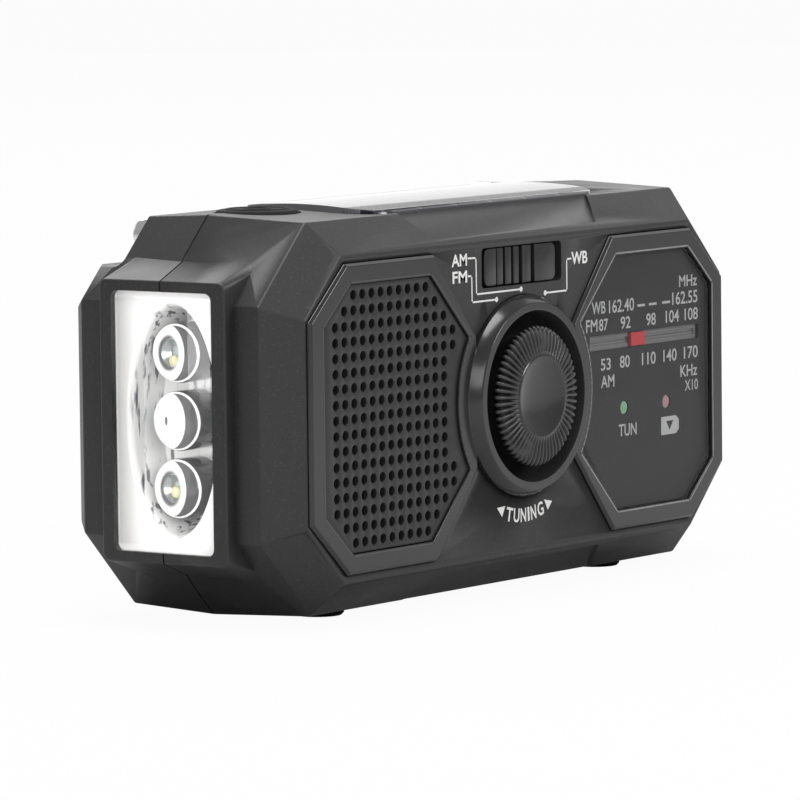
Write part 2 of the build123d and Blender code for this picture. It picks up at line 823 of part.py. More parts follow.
def pointer_slider():
    """Rack, step and bar in one moulding, with the pointer's head in the dial's slot."""
    rack = slab(rack_outline(), tuning_gear_y0, tuning_gear_y1)
    bar_low = slot_z - 0.5
    step_x0 = slider_step_x1 - slider_step
    head_x0 = pointer_x - pointer_w / 2
    head_x1 = pointer_x + pointer_w / 2
    stem_x0 = pointer_x - pointer_stem_half_w
    stem_x1 = pointer_x + pointer_stem_half_w
    half_h = pointer_stem_half_h
    step = block(step_x0, slider_step_x1, bar_y0, tuning_gear_y1, bar_low, rack_top_z)
    bar = block(step_x0, head_x1, bar_y0, bar_y0 + bar_thick, bar_low, rack_top_z - 0.4)
    stem = block(stem_x0, stem_x1, track_y0 - 0.1, bar_y0, slot_z - half_h, slot_z + half_h)
    head_h = slot_h / 2 - fit_gap
    head_y0 = dial_plate_y0 + dial_gap
    head = block(head_x0, head_x1, head_y0, track_y0 - dial_gap, slot_z - head_h, slot_z + head_h)
    return rack + step + bar + stem + head


def dial_slot(y0, y1, height, shorten=0.0):
    middle = (slot_x0 + slot_x1) / 2
    length = slot_x1 - slot_x0 - 2 * shorten
    return slab(Pos(middle, slot_z) * RectangleRounded(length, height, slot_corner), y0, y1)


def dial_window():
    return slab(pane_outline(1, 0.1), dial_window_y0, dial_window_y0 + dial_window_thick)


def dial_plate():
    body = slab(pane_outline(1, 0.12), dial_plate_y0, track_y0)
    body = body - dial_slot(dial_plate_y0 - 1, track_y0 + 1, slot_h)
    for x in (tuning_led_x, battery_led_x):
        body = body - rod(led_dot_r, x, led_dot_z, dial_plate_y0 - 1, track_y0 + 1)
    return body


def pointer_track():
    """Pale strip behind the slot; the pointer's stem runs in its slit."""
    low_z = slot_z - track_half_h
    high_z = slot_z + track_half_h
    body = block(slot_x0 - 0.3, slot_x1 + 0.7, track_y0, track_y0 + track_thick, low_z, high_z)
    return body - dial_slot(track_y0 - 1, track_y0 + 2, track_slit, 0.6)


def indicator_led(x):
    tip = rod(led_dot_r - 0.1, x, led_dot_z, dial_plate_y0 + 0.15, track_y0 + 1)
    return tip + rod(led_body_r, x, led_dot_z, track_y0 + 1, board_y)


# ---- loudspeaker ----
def speaker_basket():
    y = speaker_y
    return turned([
        (speaker_r, y), (speaker_r, y + 1), (speaker_r - 2, y + 1), (9.8, y + 5), (7.2, y + 5),
        (7.2, y + 4.2), (speaker_r - 2.6, y + 0.5), (speaker_r - 1.6, y),
    ], speaker_x)


def speaker_magnet():
    y = speaker_y + 5
    back = speaker_y + speaker_depth
    return turned([(0, y), (9.4, y), (9.4, y + 1.2), (8.8, back), (0, back)], speaker_x)


def speaker_cone():
    y = speaker_y
    return turned([
        (0, y + 0.5), (5, y + 2.2), (speaker_r - 3.4, y + 0.15), (speaker_r - 2.6, y + 0.3),
        (5.2, y + 2.7), (0, y + 0.9),
    ], speaker_x)


# ---- band switch ----
def band_slider():
    """Ridged slider, the flange that holds it in and the peg that moves the switch."""
    half_h = switch_half_h - slider_pad
    face = RectangleRounded(2 * slider_half_w, 2 * half_h, 1.2)
    body = slab(Pos(0, switch_z) * face, slider_sink + 0.5, wall + 0.2)
    for step in range(-3, 4):
        width = 1.1 if step == 0 else 0.7
        top = slider_sink - 0.25 if step == 0 else slider_sink + 0.1
        ridge = Pos(step * slider_ridge_pitch, switch_z) * Rectangle(width, 2 * half_h)
        body = body + slab(ridge, top, slider_sink + 0.6)
    flange_w = switch_half_w + slider_flange
    flange_low = switch_z - switch_half_h - 0.8
    flange_top = switch_z + switch_half_h + 0.2
    flange = block(-flange_w, flange_w, wall + fit_gap, wall + 0.9, flange_low, flange_top)
    peg = Pos(0, switch_z) * Rectangle(slider_peg_w, slider_peg_h)
    return body + flange + slab(peg, wall + 0.8, slider_peg_y)


def band_switch_body():
    half_w = switch_body_half_w
    half_h = switch_body_half_h
    body = block(-half_w, half_w, switch_body_y0, board_y, switch_z - half_h, switch_z + half_h)
    groove = slider_peg_w / 2 + switch_travel + 0.4
    groove_h = slider_peg_h / 2 + 0.2
    groove_y0 = switch_body_y0 - 1
    groove_y1 = slider_peg_y + 0.5
    return body - block(-groove, groove, groove_y0, groove_y1, switch_z - groove_h, switch_z + groove_h)


# ---- boards ----
def main_board():
    top = board_half_h
    left = board_left_cut
    right = board_right_cut
    half = [
        (-board_left, top - left), (-board_left + left, top), (board_right - right, top),
        (board_right, top - right),
    ]
    outline = half + [(x, -z) for x, z in reversed(half)]
    body = slab(make_face(Polyline(*outline, close=True)), board_y, board_y + board_thick)
    for x, z in screw_places():
        body = body - rod(post_r + 0.2, x, z, board_y - 1, board_y + 3)
    return body - rod(capacitor_shaft_r + 0.4, 0, capacitor_z, board_y - 1, board_y + 3)


def usb_socket(x0, y, half_y, half_z, tongue_half):
    """Metal shell of a socket, open to the right, with its contact tongue."""
    x1 = outer_half_w + crown - port_depth - 0.2
    in_y = half_y - socket_wall
    in_z = half_z - socket_wall
    tongue_z = half_z - 0.9
    shell = block(x0, x1, y - half_y, y + half_y, port_z - half_z, port_z + half_z)
    shell = shell - block(x0 + 2, x1 + 1, y - in_y, y + in_y, port_z - in_z, port_z + in_z)
    y0 = y - tongue_half
    return shell + block(x0 + 1, x1 - 1, y0, y + tongue_half, port_z - tongue_z, port_z + tongue_z)


def usb_a_socket():
    return usb_socket(usb_a_x0, usb_a_y, usb_a_half_y, usb_a_half_z, 0.9)


def usb_c_socket():
    return usb_socket(usb_c_x0, usb_c_y, usb_c_half_y, usb_c_half_z, 0.35)


def volume_pot():
    body = rod(pot_r, wheel_x - 2, wheel_z, wheel_y1 + 0.2, board_y)
    return body + rod(pot_shaft_r, wheel_x, wheel_z, wheel_y0, board_y - 0.2)


def volume_wheel():
    outline = Pos(wheel_x, wheel_z) * ridged(wheel_notches, wheel_r, wheel_r - wheel_notch)
    body = slab(outline, wheel_y0, wheel_y1)
    return body - rod(pot_shaft_r + slip, wheel_x, wheel_z, wheel_y0 - 1, wheel_y1 + 1)


def port_cover():
    x1 = outer_half_w + crown - 0.05
    x0 = x1 - port_thick
    low_z = port_z - port_half_h
    high_z = port_z + port_half_h
    flap = block(x0, x1, port_y0, port_y1, low_z, high_z)
    outer_edges = [e for e in flap.edges() if e.center().X > x1 - 0.01 and e.center().Y < port_y1 - 0.1]
    flap = chamfer(outer_edges, 0.35)
    hinge_x = x1 - port_thick / 2
    hinge_y = port_y1 + port_hinge_r
    web = block(hinge_x - port_hinge_r, hinge_x + port_hinge_r, port_y1 - 0.1, hinge_y, low_z, high_z)
    barrel = bar_z(port_hinge_r, hinge_x, hinge_y, low_z, high_z)
    nail_lip = block(x1 - 0.3, x1 + 0.5, port_y0 + 0.8, port_y0 + 1.6, port_z - 3, port_z + 3)
    return flap + web + barrel + nail_lip


# ---- torch ----
def across_torch(x):
    """A plane across the torch's axis at x."""
    return Plane(origin=(x, torch_y, 0), x_dir=(0, 1, 0), z_dir=(-1, 0, 0))


def upright_oval(half_w, half_h, x):
    """A faceted oval across the torch's axis."""
    corners = []
    for step in range(bowl_facets):
        across, up = polar(1, 360 / bowl_facets * step)
        corners.append((half_w * across, half_h * up))
    return across_torch(x) * make_face(Polyline(*corners, close=True))


def torch_block(x0, x1, half_w, half_h):
    return block(x0, x1, torch_y - half_w, torch_y + half_w, -half_h, half_h)


def flange_half_w():
    return window_half_w + lens_flange


def flange_half_h():
    return window_half_h + lens_flange - 0.1


def torch_lens():
    """Clear lens: a boss that fills the window and a flange behind the bezel."""
    seat_x = -snout_x + lens_lip
    rounded = RectangleRounded(2 * (window_half_w - 0.1), 2 * (window_half_h - 0.1), window_r)
    boss = extrude(across_torch(-snout_x + lens_sink) * rounded, amount=lens_sink - lens_lip - 0.4)
    return boss + torch_block(seat_x + torch_fit, seat_x + lens_thick, flange_half_w(), flange_half_h())


def torch_reflector():
    """Plate with a faceted oval bowl and three holes for the lamps."""
    plate_x = reflector_x
    plate = torch_block(plate_x, plate_x + reflector_plate, flange_half_w(), flange_half_h())
    floor_x = plate_x + bowl_depth
    out_w = bowl_half_w + bowl_wall
    out_h = bowl_half_h + bowl_wall
    outer = loft([
        upright_oval(out_w, out_h, plate_x),
        upright_oval(out_w * bowl_taper, out_h * bowl_taper, floor_x + bowl_wall),
    ], ruled=True)
    inner = loft([
        upright_oval(bowl_half_w, bowl_half_h, plate_x - 0.01),
        upright_oval(bowl_half_w * bowl_taper, bowl_half_h * bowl_taper, floor_x),
    ], ruled=True)
    body = plate + outer - inner
    for z in led_heights():
        body = body - bar_x(led_r + 0.1, floor_x - 1, floor_x + 2, torch_y, z)
    return body


def led_heights():
    return [-led_pitch, 0, led_pitch]


def torch_leds():
    """Three lamps with domed tops."""
    shoulder = led_height - led_dome
    outline = [(0, 0), (led_r, 0)]
    for step in range(led_dome_steps + 1):
        across, rise = polar(1, 90 / led_dome_steps * step)
        outline.append((led_r * across, shoulder + led_dome * rise))
    lamp = turned(outline)
    return [Pos(torch_board_x, torch_y, z) * Rot(0, 0, 90) * lamp for z in led_heights()]


def torch_board():
    x = torch_board_x
    return torch_block(x, x + torch_board_thick, torch_board_half_w, torch_board_half_h)


def torch_switch():
    """Press switch on a small carrier board under the rubber button."""
    board_top = press_switch_z0 + press_switch_board
    half = press_switch_half
    half_y = press_board_half_y
    board = block(press_board_x0, button_x + press_board_right, button_y - half_y, button_y + half_y,
                  press_switch_z0, board_top)
    top = press_switch_top_z
    body = block(button_x - half, button_x + half, button_y - half, button_y + half, board_top, top)
    return board + body + bar_z(press_plunger_r, button_x, button_y, top, switch_plunger_z)


def torch_button():
    top = button_top_z
    cap = bar_z(button_r, button_x, button_y, button_flange_z, top)
    cap = chamfer([e for e in cap.edges() if e.center().Z > top - 0.01], button_edge)
    flange = bar_z(button_r + button_flange, button_x, button_y, button_flange_z - 0.5, button_flange_z + 0.2)
    stem_z = switch_plunger_z + button_travel + 0.1
    return cap + flange + bar_z(button_stem_r, button_x, button_y, stem_z, button_flange_z)


# ---- solar panel ----
def solar_window():
    """Clear cover with a gently arched top."""
    middle_y = (panel_y0 + panel_y1) / 2
    block_top = panel_top_z + 3
    outline = RectangleRounded(2 * panel_half_w, panel_y1 - panel_y0, panel_corner)
    body = extrude(Pos(0, middle_y, panel_base_z) * outline, amount=block_top - panel_base_z)
    crest = (middle_y - 1, panel_top_z)
    arch = ThreePointArc((panel_y0 - 1, panel_front_z), crest, (panel_y1 + 1, panel_rear_z))
    sky_top = Polyline(
        (panel_y1 + 1, panel_rear_z), (panel_y1 + 1, block_top + 1), (panel_y0 - 1, block_top + 1),
        (panel_y0 - 1, panel_front_z))
    sky = extrude(Plane.YZ * make_face(Curve() + [arch, sky_top]), amount=panel_half_w + 5, both=True)
    return body - sky


def solar_cell():
    return block(-cell_half_w, cell_half_w, panel_y0 + cell_margin, panel_y1 - cell_margin,
                 panel_base_z - 0.9, panel_base_z - 0.1)


# ---- dynamo and crank ----
def crank_gear():
    outline = gear_outline(crank_teeth, crank_module, crank_x, crank_z, idler_angle)
    bore = rod(crank_core_r, crank_x, crank_z, gear_a_y0 - 1, gear_a_y1 + 1)
    return slab(outline, gear_a_y0, gear_a_y1) - bore


def idler_gear():
    """Small and large gear in one moulding on a fixed pin."""
    small_tooth = idler_angle + 180 + 180 / idler_small_teeth
    small = gear_outline(idler_small_teeth, crank_module, idler_x, idler_z, small_tooth)
    big = gear_outline(idler_big_teeth, gear_module, idler_x, idler_z, rotor_angle)
    hub = rod(idler_small_r - 1.1, idler_x, idler_z, gear_b_y0, gear_a_y0 + 0.5)
    body = slab(small, gear_a_y0, gear_a_y1) + slab(big, gear_b_y0, gear_b_y1) + hub
    return body - rod(idler_pin_r + slip, idler_x, idler_z, gear_b_y0 - 1, gear_a_y1 + 1)


def generator_rotor():
    tooth = rotor_angle + 180 + 180 / rotor_teeth
    outline = gear_outline(rotor_teeth, gear_module, rotor_x, rotor_z, tooth)
    pinion = slab(outline, gear_b_y0, gear_b_y1)
    end = can_end + rotor_end_gap
    magnet_r = generator_r - can_wall - rotor_gap
    magnet = rod(magnet_r, rotor_x, rotor_z, generator_y0 + end, generator_y1 - end)
    shaft = rod(rotor_shaft_r, rotor_x, rotor_z, generator_y0 + 0.2, gear_b_y1)
    return pinion + magnet + shaft


def generator_can():
    body = rod(generator_r, rotor_x, rotor_z, generator_y0, generator_y1)
    inner_r = generator_r - can_wall
    body = body - rod(inner_r, rotor_x, rotor_z, generator_y0 + can_end, generator_y1 - can_end)
    return body - rod(rotor_shaft_r + slip, rotor_x, rotor_z, generator_y0 - 1, generator_y1 + 1)


def plate_posts():
    """Feet of the gear plate and the depth where each meets the rear shell."""
    return [
        (plate_left_x, plate_left_z, crank_floor_y - wall),
        (plate_top_x, plate_top_z, antenna_wall_y - wall),
        (plate_right_x, plate_right_z, case_depth - wall),
    ]


def gear_plate():
    corners = [(x, z) for x, z, end_y in plate_posts()] + [(idler_x, plate_low_z)]
    outline = make_face(Polyline(*corners, close=True))
    body = slab(offset(outline, plate_edge), plate_y0, plate_y1)
    for x, z, end_y in plate_posts():
        body = body + rod(plate_post_r, x, z, plate_y1 - 0.1, end_y)
    body = body - rod(idler_pin_r, idler_x, idler_z, plate_y0 - 1, plate_y1 + 1)
    return body - rod(rotor_shaft_r + slip, rotor_x, rotor_z, plate_y0 - 1, plate_y1 + 1)


def idler_pin():
    return rod(idler_pin_r, idler_x, idler_z, plate_y0, crank_floor_y - wall)


def crank_bush():
    sleeve = rod(bush_r, crank_x, crank_z, crank_floor_y - wall, crank_floor_y)
    flange_y = crank_floor_y + bush_flange_thick
    flange = rod(bush_r + bush_flange, crank_x, crank_z, crank_floor_y, flange_y)
    return sleeve + flange - rod(crank_shaft_r + slip, crank_x, crank_z, 0, case_depth)


def crank_square(half, y0, y1):
    return slab(Pos(crank_x, crank_z) * Rectangle(2 * half, 2 * half), y0, y1)


def crank_shaft():
    core = rod(crank_core_r, crank_x, crank_z, gear_a_y0, gear_a_y1)
    journal = rod(crank_shaft_r, crank_x, crank_z, gear_a_y1, crank_arm_y0 - 0.1)
    drive = crank_square(crank_square_half, crank_arm_y0 - 0.2, crank_arm_y0 + 3.4)
    return core + journal + drive - rod(1.2, crank_x, crank_z, crank_arm_y0 - 3, crank_arm_y1)


def crank_arm():
    reach = crank_well_r - crank_gap - crank_arm_w / 2
    length = reach + crank_arm_w
    outline = Pos(crank_x - reach / 2, crank_z) * SlotOverall(length, crank_arm_w)
    arm = slab(outline, crank_arm_y0, crank_arm_y1)
    rim = [e for e in arm.edges() if abs(e.center().Y - crank_arm_y1) < 0.01]
    arm = chamfer(rim, crank_arm_edge)
    slot_far = crank_x - crank_well_r
    slot_near = crank_x - grip_pivot + grip_length + 0.8
    slot_half = grip_r + 2 * fit_gap
    low_z = crank_z - slot_half
    arm = arm - block(slot_far, slot_near, crank_arm_y0 - 1, crank_arm_y1 + 1, low_z, crank_z + slot_half)
    arm = arm - crank_square(crank_square_half + slip, crank_arm_y0 - 1, crank_arm_y0 + 3.5)
    arm = arm - rod(1.3, crank_x, crank_z, crank_arm_y0, crank_arm_y1 + 1)
    arm = arm - rod(3.2, crank_x, crank_z, crank_arm_y1 - crank_head_sink, crank_arm_y1 + 1)
    return arm - grip_pin()


def screw(x, z, head_y, shank_y, shank_r, head_r, head_thick):
    """Pan-head screw along the depth, with a cross slot."""
    body = rod(shank_r, x, z, shank_y, head_y) + rod(head_r, x, z, head_y, head_y + head_thick)
    slot_y = head_y + head_thick * 0.45
    for width, height in ((head_r * 1.3, 0.5), (0.5, head_r * 1.3)):
        body = body - slab(Pos(x, z) * Rectangle(width, height), slot_y, head_y + 5)
    return body


def crank_screw():
    return screw(crank_x, crank_z, crank_arm_y1 - crank_head_sink, crank_arm_y0 - 2.5, 1.15, 2.9, 1.3)


def grip_pin():
    low_z = crank_z - grip_pin_half
    return bar_z(grip_pin_r, crank_x - grip_pivot, grip_y, low_z, crank_z + grip_pin_half)


def grip_post():
    pivot_x = crank_x - grip_pivot
    end_x = pivot_x + grip_length
    barrel = bar_z(grip_barrel_r, pivot_x, grip_y, crank_z - grip_r - 0.1, crank_z + grip_r + 0.1)
    spindle = bar_x(grip_spindle_r, pivot_x, end_x, grip_y, crank_z)
    head = bar_x(grip_head_r, end_x - grip_head, end_x, grip_y, crank_z)
    return barrel + spindle + head - bar_z(grip_pin_r + slip, pivot_x, grip_y, crank_z - 9, crank_z + 9)


def grip_sleeve():
    pivot_x = crank_x - grip_pivot
    x0 = pivot_x + grip_start
    x1 = pivot_x + grip_length
    body = bar_x(grip_r, x0, x1, grip_y, crank_z)
    rims = [e for e in body.edges() if e.geom_type == GeomType.CIRCLE]
    body = chamfer(rims, 0.8)
    body = body - bar_x(grip_spindle_r + slip, x0 - 1, x1 + 1, grip_y, crank_z)
    return body - bar_x(grip_head_r + 0.1, x1 - grip_head - 0.1, x1 + 1, grip_y, crank_z)


# ---- antenna ----
def antenna_knuckle():
    x = antenna_pivot_x
    low_z = antenna_z - elbow_half_h
    high_z = antenna_z + elbow_half_h
    slot_x1 = antenna_elbow_x + 2.3
    barrel = rod(knuckle_r, x, antenna_z, knuckle_y0, knuckle_y1)
    neck = block(antenna_elbow_x, x, knuckle_y0, knuckle_y1, low_z, high_z)
    body = barrel + neck + bar_z(2.0, antenna_elbow_x, antenna_y, low_z, high_z)
    body = body - block(antenna_elbow_x - 5, slot_x1, 30, 50, antenna_z - elbow_slot, antenna_z + elbow_slot)
    return body - rod(antenna_screw_r + slip, x, antenna_z, 30, 50) - elbow_pin()


def elbow_pin():
    return bar_z(elbow_pin_r, antenna_elbow_x, antenna_y, antenna_z - elbow_half_h, antenna_z + elbow_half_h)


def antenna_screw():
    shank_y = antenna_wall_y - wall - 1
    return screw(antenna_pivot_x, antenna_z, knuckle_y1 + 0.1, shank_y, antenna_screw_r, 2.8, 1.2)


def section_radius(number):
    return antenna_r - (number - 1) * antenna_step


def antenna_section(number):
    """One tube of the telescopic rod; the first carries the elbow's tongue, the last is solid."""
    start = antenna_elbow_x - 2.7 - (number - 1) * 2.2
    end = antenna_tip_x + antenna_cap + 0.1
    radius = section_radius(number)
    body = bar_x(radius, end, start, antenna_y, antenna_z)
    if number == 1:
        half = elbow_tongue
        low_z = antenna_z - elbow_slot + fit_gap
        high_z = antenna_z + elbow_slot - fit_gap
        tongue = block(start - 1, antenna_elbow_x, antenna_y - half, antenna_y + half, low_z, high_z)
        body = body + tongue + bar_z(half, antenna_elbow_x, antenna_y, low_z, high_z)
        body = body - bar_z(elbow_pin_r + slip, antenna_elbow_x, antenna_y, antenna_z - 3, antenna_z + 3)
    if number < antenna_sections:
        bore = section_radius(number + 1) + antenna_slip
        body = body - bar_x(bore, end - 1, start - 1.9, antenna_y, antenna_z)
    return body


def antenna_tip():
    cap_x = antenna_tip_x + antenna_cap
    body = bar_x(antenna_r + 0.1, antenna_tip_x, cap_x, antenna_y, antenna_z)
    outer = [e for e in body.edges() if e.center().X < antenna_tip_x + 0.01]
    body = chamfer(outer, 0.8)
    root_r = section_radius(antenna_sections)
    return body + bar_x(root_r, antenna_tip_x + 1, cap_x + 0.1, antenna_y, antenna_z)


# ---- the rest ----
def battery():
    back_y = case_depth - wall - 0.1
    body = block(battery_x0, battery_x1, battery_y0, back_y, battery_z0, battery_z1)
    return fillet(body.edges().filter_by(Axis.Z), battery_r)


def ferrite_rod():
    return bar_x(ferrite_r, ferrite_x0, ferrite_x1, ferrite_y, ferrite_z)


def ferrite_coil():
    middle = (ferrite_x0 + ferrite_x1) / 2
    body = bar_x(coil_r, middle - coil_half, middle + coil_half, ferrite_y, ferrite_z)
    return body - bar_x(ferrite_r, ferrite_x0, ferrite_x1, ferrite_y, ferrite_z)


def case_screws():
    return [screw(x, z, screw_seat_y, 10, screw_r, screw_head_r, 1.5) for x, z in screw_places()]


def feet():
    pads = []
    for x, y in foot_places():
        pad = bar_z(foot_r, x, y, foot_bottom_z, foot_bottom_z + foot_thick)
        rim = [e for e in pad.edges() if abs(e.center().Z - foot_bottom_z) < 0.01]
        pads.append(chamfer(rim, 0.4))
    return pads


# ---- assembly ----
def all_pieces():
    case = whole_case()
    pieces = {
        "front_shell": front_shell(case),
        "rear_shell": rear_shell(case),
        "front_trim": front_trim(),
        "speaker_grille": speaker_grille(),
        "speaker_basket": speaker_basket(),
        "speaker_magnet": speaker_magnet(),
        "speaker_cone": speaker_cone(),
        "dial_window": dial_window(),
        "dial_plate": dial_plate(),
        "pointer_track": pointer_track(),
        "tuning_led": indicator_led(tuning_led_x),
        "battery_led": indicator_led(battery_led_x),
        "torch_lens": torch_lens(),
        "torch_reflector": torch_reflector(),
        "torch_leds": torch_leds(),
        "torch_board": torch_board(),
        "torch_switch": torch_switch(),
        "torch_button": torch_button(),
        "main_board": main_board(),
        "tuning_capacitor": tuning_capacitor(),
        "capacitor_gear": capacitor_gear(),
        "tuning_knob": tuning_knob(),
        "tuning_pinion": tuning_pinion(),
        "pointer_slider": pointer_slider(),
        "band_slider": band_slider(),
        "band_switch_body": band_switch_body(),
        "solar_window": solar_window(),
        "solar_cell": solar_cell(),
        "battery": battery(),
        "ferrite_rod": ferrite_rod(),
        "ferrite_coil": ferrite_coil(),
        "generator_can": generator_can(),
        "generator_rotor": generator_rotor(),
        "gear_plate": gear_plate(),
        "idler_pin": idler_pin(),
        "idler_gear": idler_gear(),
        "crank_bush": crank_bush(),
        "crank_shaft": crank_shaft(),
        "crank_gear": crank_gear(),
        "crank_arm": crank_arm(),
        "crank_screw": crank_screw(),
        "grip_pin": grip_pin(),
        "grip_post": grip_post(),
        "grip_sleeve": grip_sleeve(),
        "volume_pot": volume_pot(),
        "volume_wheel": volume_wheel(),
        "usb_a_socket": usb_a_socket(),
        "usb_c_socket": usb_c_socket(),
        "port_cover": port_cover(),
        "case_screws": case_screws(),
        "feet": feet(),
        "antenna_knuckle": antenna_knuckle(),
        "elbow_pin": elbow_pin(),
        "antenna_screw": antenna_screw(),
        "antenna_tip": antenna_tip(),
    }
    for number in range(1, antenna_sections + 1):
        pieces[f"antenna_section_{number}"] = antenna_section(number)
    return pieces


def origin_shift():
    """From the middle of the case to the bottom centre of the whole radio."""
    low_x = -snout_x
    high_x = wheel_x + wheel_r
    low_y = knob_face_y
    return Location((-(low_x + high_x) / 2, -(low_y + case_depth) / 2, -foot_bottom_z))


os.makedirs("parts", exist_ok=True)
for name, shape in all_pieces().items():
    solids = shape if isinstance(shape, list) else [shape]
    moved = [origin_shift() * solid for solid in solids]
    export_step(moved[0] if len(moved) == 1 else Compound(moved), f"parts/{name}.step")
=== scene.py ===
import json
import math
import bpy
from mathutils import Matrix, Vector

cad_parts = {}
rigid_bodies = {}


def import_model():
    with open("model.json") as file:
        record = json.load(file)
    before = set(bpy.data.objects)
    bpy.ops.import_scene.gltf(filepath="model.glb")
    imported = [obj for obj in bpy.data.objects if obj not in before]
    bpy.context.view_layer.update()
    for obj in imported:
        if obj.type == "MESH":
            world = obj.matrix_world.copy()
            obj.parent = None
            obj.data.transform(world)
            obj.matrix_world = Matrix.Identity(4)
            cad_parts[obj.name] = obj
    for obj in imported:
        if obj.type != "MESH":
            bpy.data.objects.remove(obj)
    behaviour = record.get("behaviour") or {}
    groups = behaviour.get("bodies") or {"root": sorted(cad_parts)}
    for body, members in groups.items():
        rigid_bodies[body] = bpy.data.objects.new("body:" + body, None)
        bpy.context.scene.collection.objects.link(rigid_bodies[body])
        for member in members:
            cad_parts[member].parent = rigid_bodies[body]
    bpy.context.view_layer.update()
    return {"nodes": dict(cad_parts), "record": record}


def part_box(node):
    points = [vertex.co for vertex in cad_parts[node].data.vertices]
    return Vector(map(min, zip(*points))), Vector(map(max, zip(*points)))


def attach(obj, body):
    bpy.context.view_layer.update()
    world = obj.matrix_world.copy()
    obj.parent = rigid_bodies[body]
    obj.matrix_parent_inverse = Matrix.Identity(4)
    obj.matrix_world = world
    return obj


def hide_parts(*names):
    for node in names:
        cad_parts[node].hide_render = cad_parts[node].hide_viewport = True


bl_info = {
    "name": "Emergency Radio Looks",
    "version": (1, 0, 0),
    "blender": (4, 5, 0),
    "location": "3D View > Sidebar > Radio",
    "description": "Dresses the packed radio: skins, torch optics, dial, knob, lettering and finishes",
    "category": "Object",
}

import bmesh
import bpy
from bpy.props import FloatProperty, FloatVectorProperty, IntProperty, PointerProperty
from mathutils import Matrix, Vector

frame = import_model()
MM = 0.001
FACE_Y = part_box("front_shell")[0].y
LENS_LOW, LENS_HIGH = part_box("torch_lens")
MIDDLE_Z = (LENS_LOW.z + LENS_HIGH.z) / 2
LAMP_PITCH = 10.5
LAMP_TIP_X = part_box("torch_leds")[0].x
TORCH_Y = (LENS_LOW.y + LENS_HIGH.y) / 2
PANEL_EDGE_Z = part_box("solar_window")[0].z + 1.15 * MM
PANEL_END_X = 31.6 * MM
# The torch window's cut sides and ends lie just outside these distances from its middle.
LENS_SIDE = 10.48 * MM
LENS_END = 20.86 * MM
BOWL_FADE = 4 * MM
CELL_PITCH = 9.6 * MM
FINGER_PITCH = 1.1 * MM
# Radii from the knob's axis, from the inside out.
KNOB_DISC_R = 6.75 * MM
RING_WALL_R = 13.9 * MM
WELL_R = 14.4 * MM
EDGE_LINE_R = 18.62 * MM
PANE_CURVE_LIMIT = 19.4 * MM
HOLE_FREE_R = 21.5 * MM
UNLIT = (0.001, 0.001, 0.001)
WHITE = (1, 1, 1, 1)


def spot(x, depth, height):
    """A point given in millimetres from the middle of the radio's front face."""
    return Vector((x * MM, FACE_Y + depth * MM, MIDDLE_Z + height * MM))


# ---- shader helpers ----
class Signal:
    """A socket that arithmetic can be written on."""

    def __init__(self, finish, socket):
        self.finish = finish
        self.socket = socket

    def maths(self, operation, first, second=0.0):
        return self.finish.maths(operation, first, second)

    def __add__(self, other):
        return self.maths("ADD", self, other)

    __radd__ = __add__

    def __sub__(self, other):
        return self.maths("SUBTRACT", self, other)

    def __rsub__(self, other):
        return self.maths("SUBTRACT", other, self)

    def __mul__(self, other):
        return self.maths("MULTIPLY", self, other)

    __rmul__ = __mul__

    def __truediv__(self, other):
        return self.maths("DIVIDE", self, other)

    def above(self, limit):
        return self.maths("GREATER_THAN", self, limit)

    def below(self, limit):
        return self.maths("LESS_THAN", self, limit)

    def power(self, exponent):
        return self.maths("POWER", self, exponent)

    def size(self):
        return self.maths("ABSOLUTE", self)

    def fraction(self):
        return self.maths("FRACT", self)


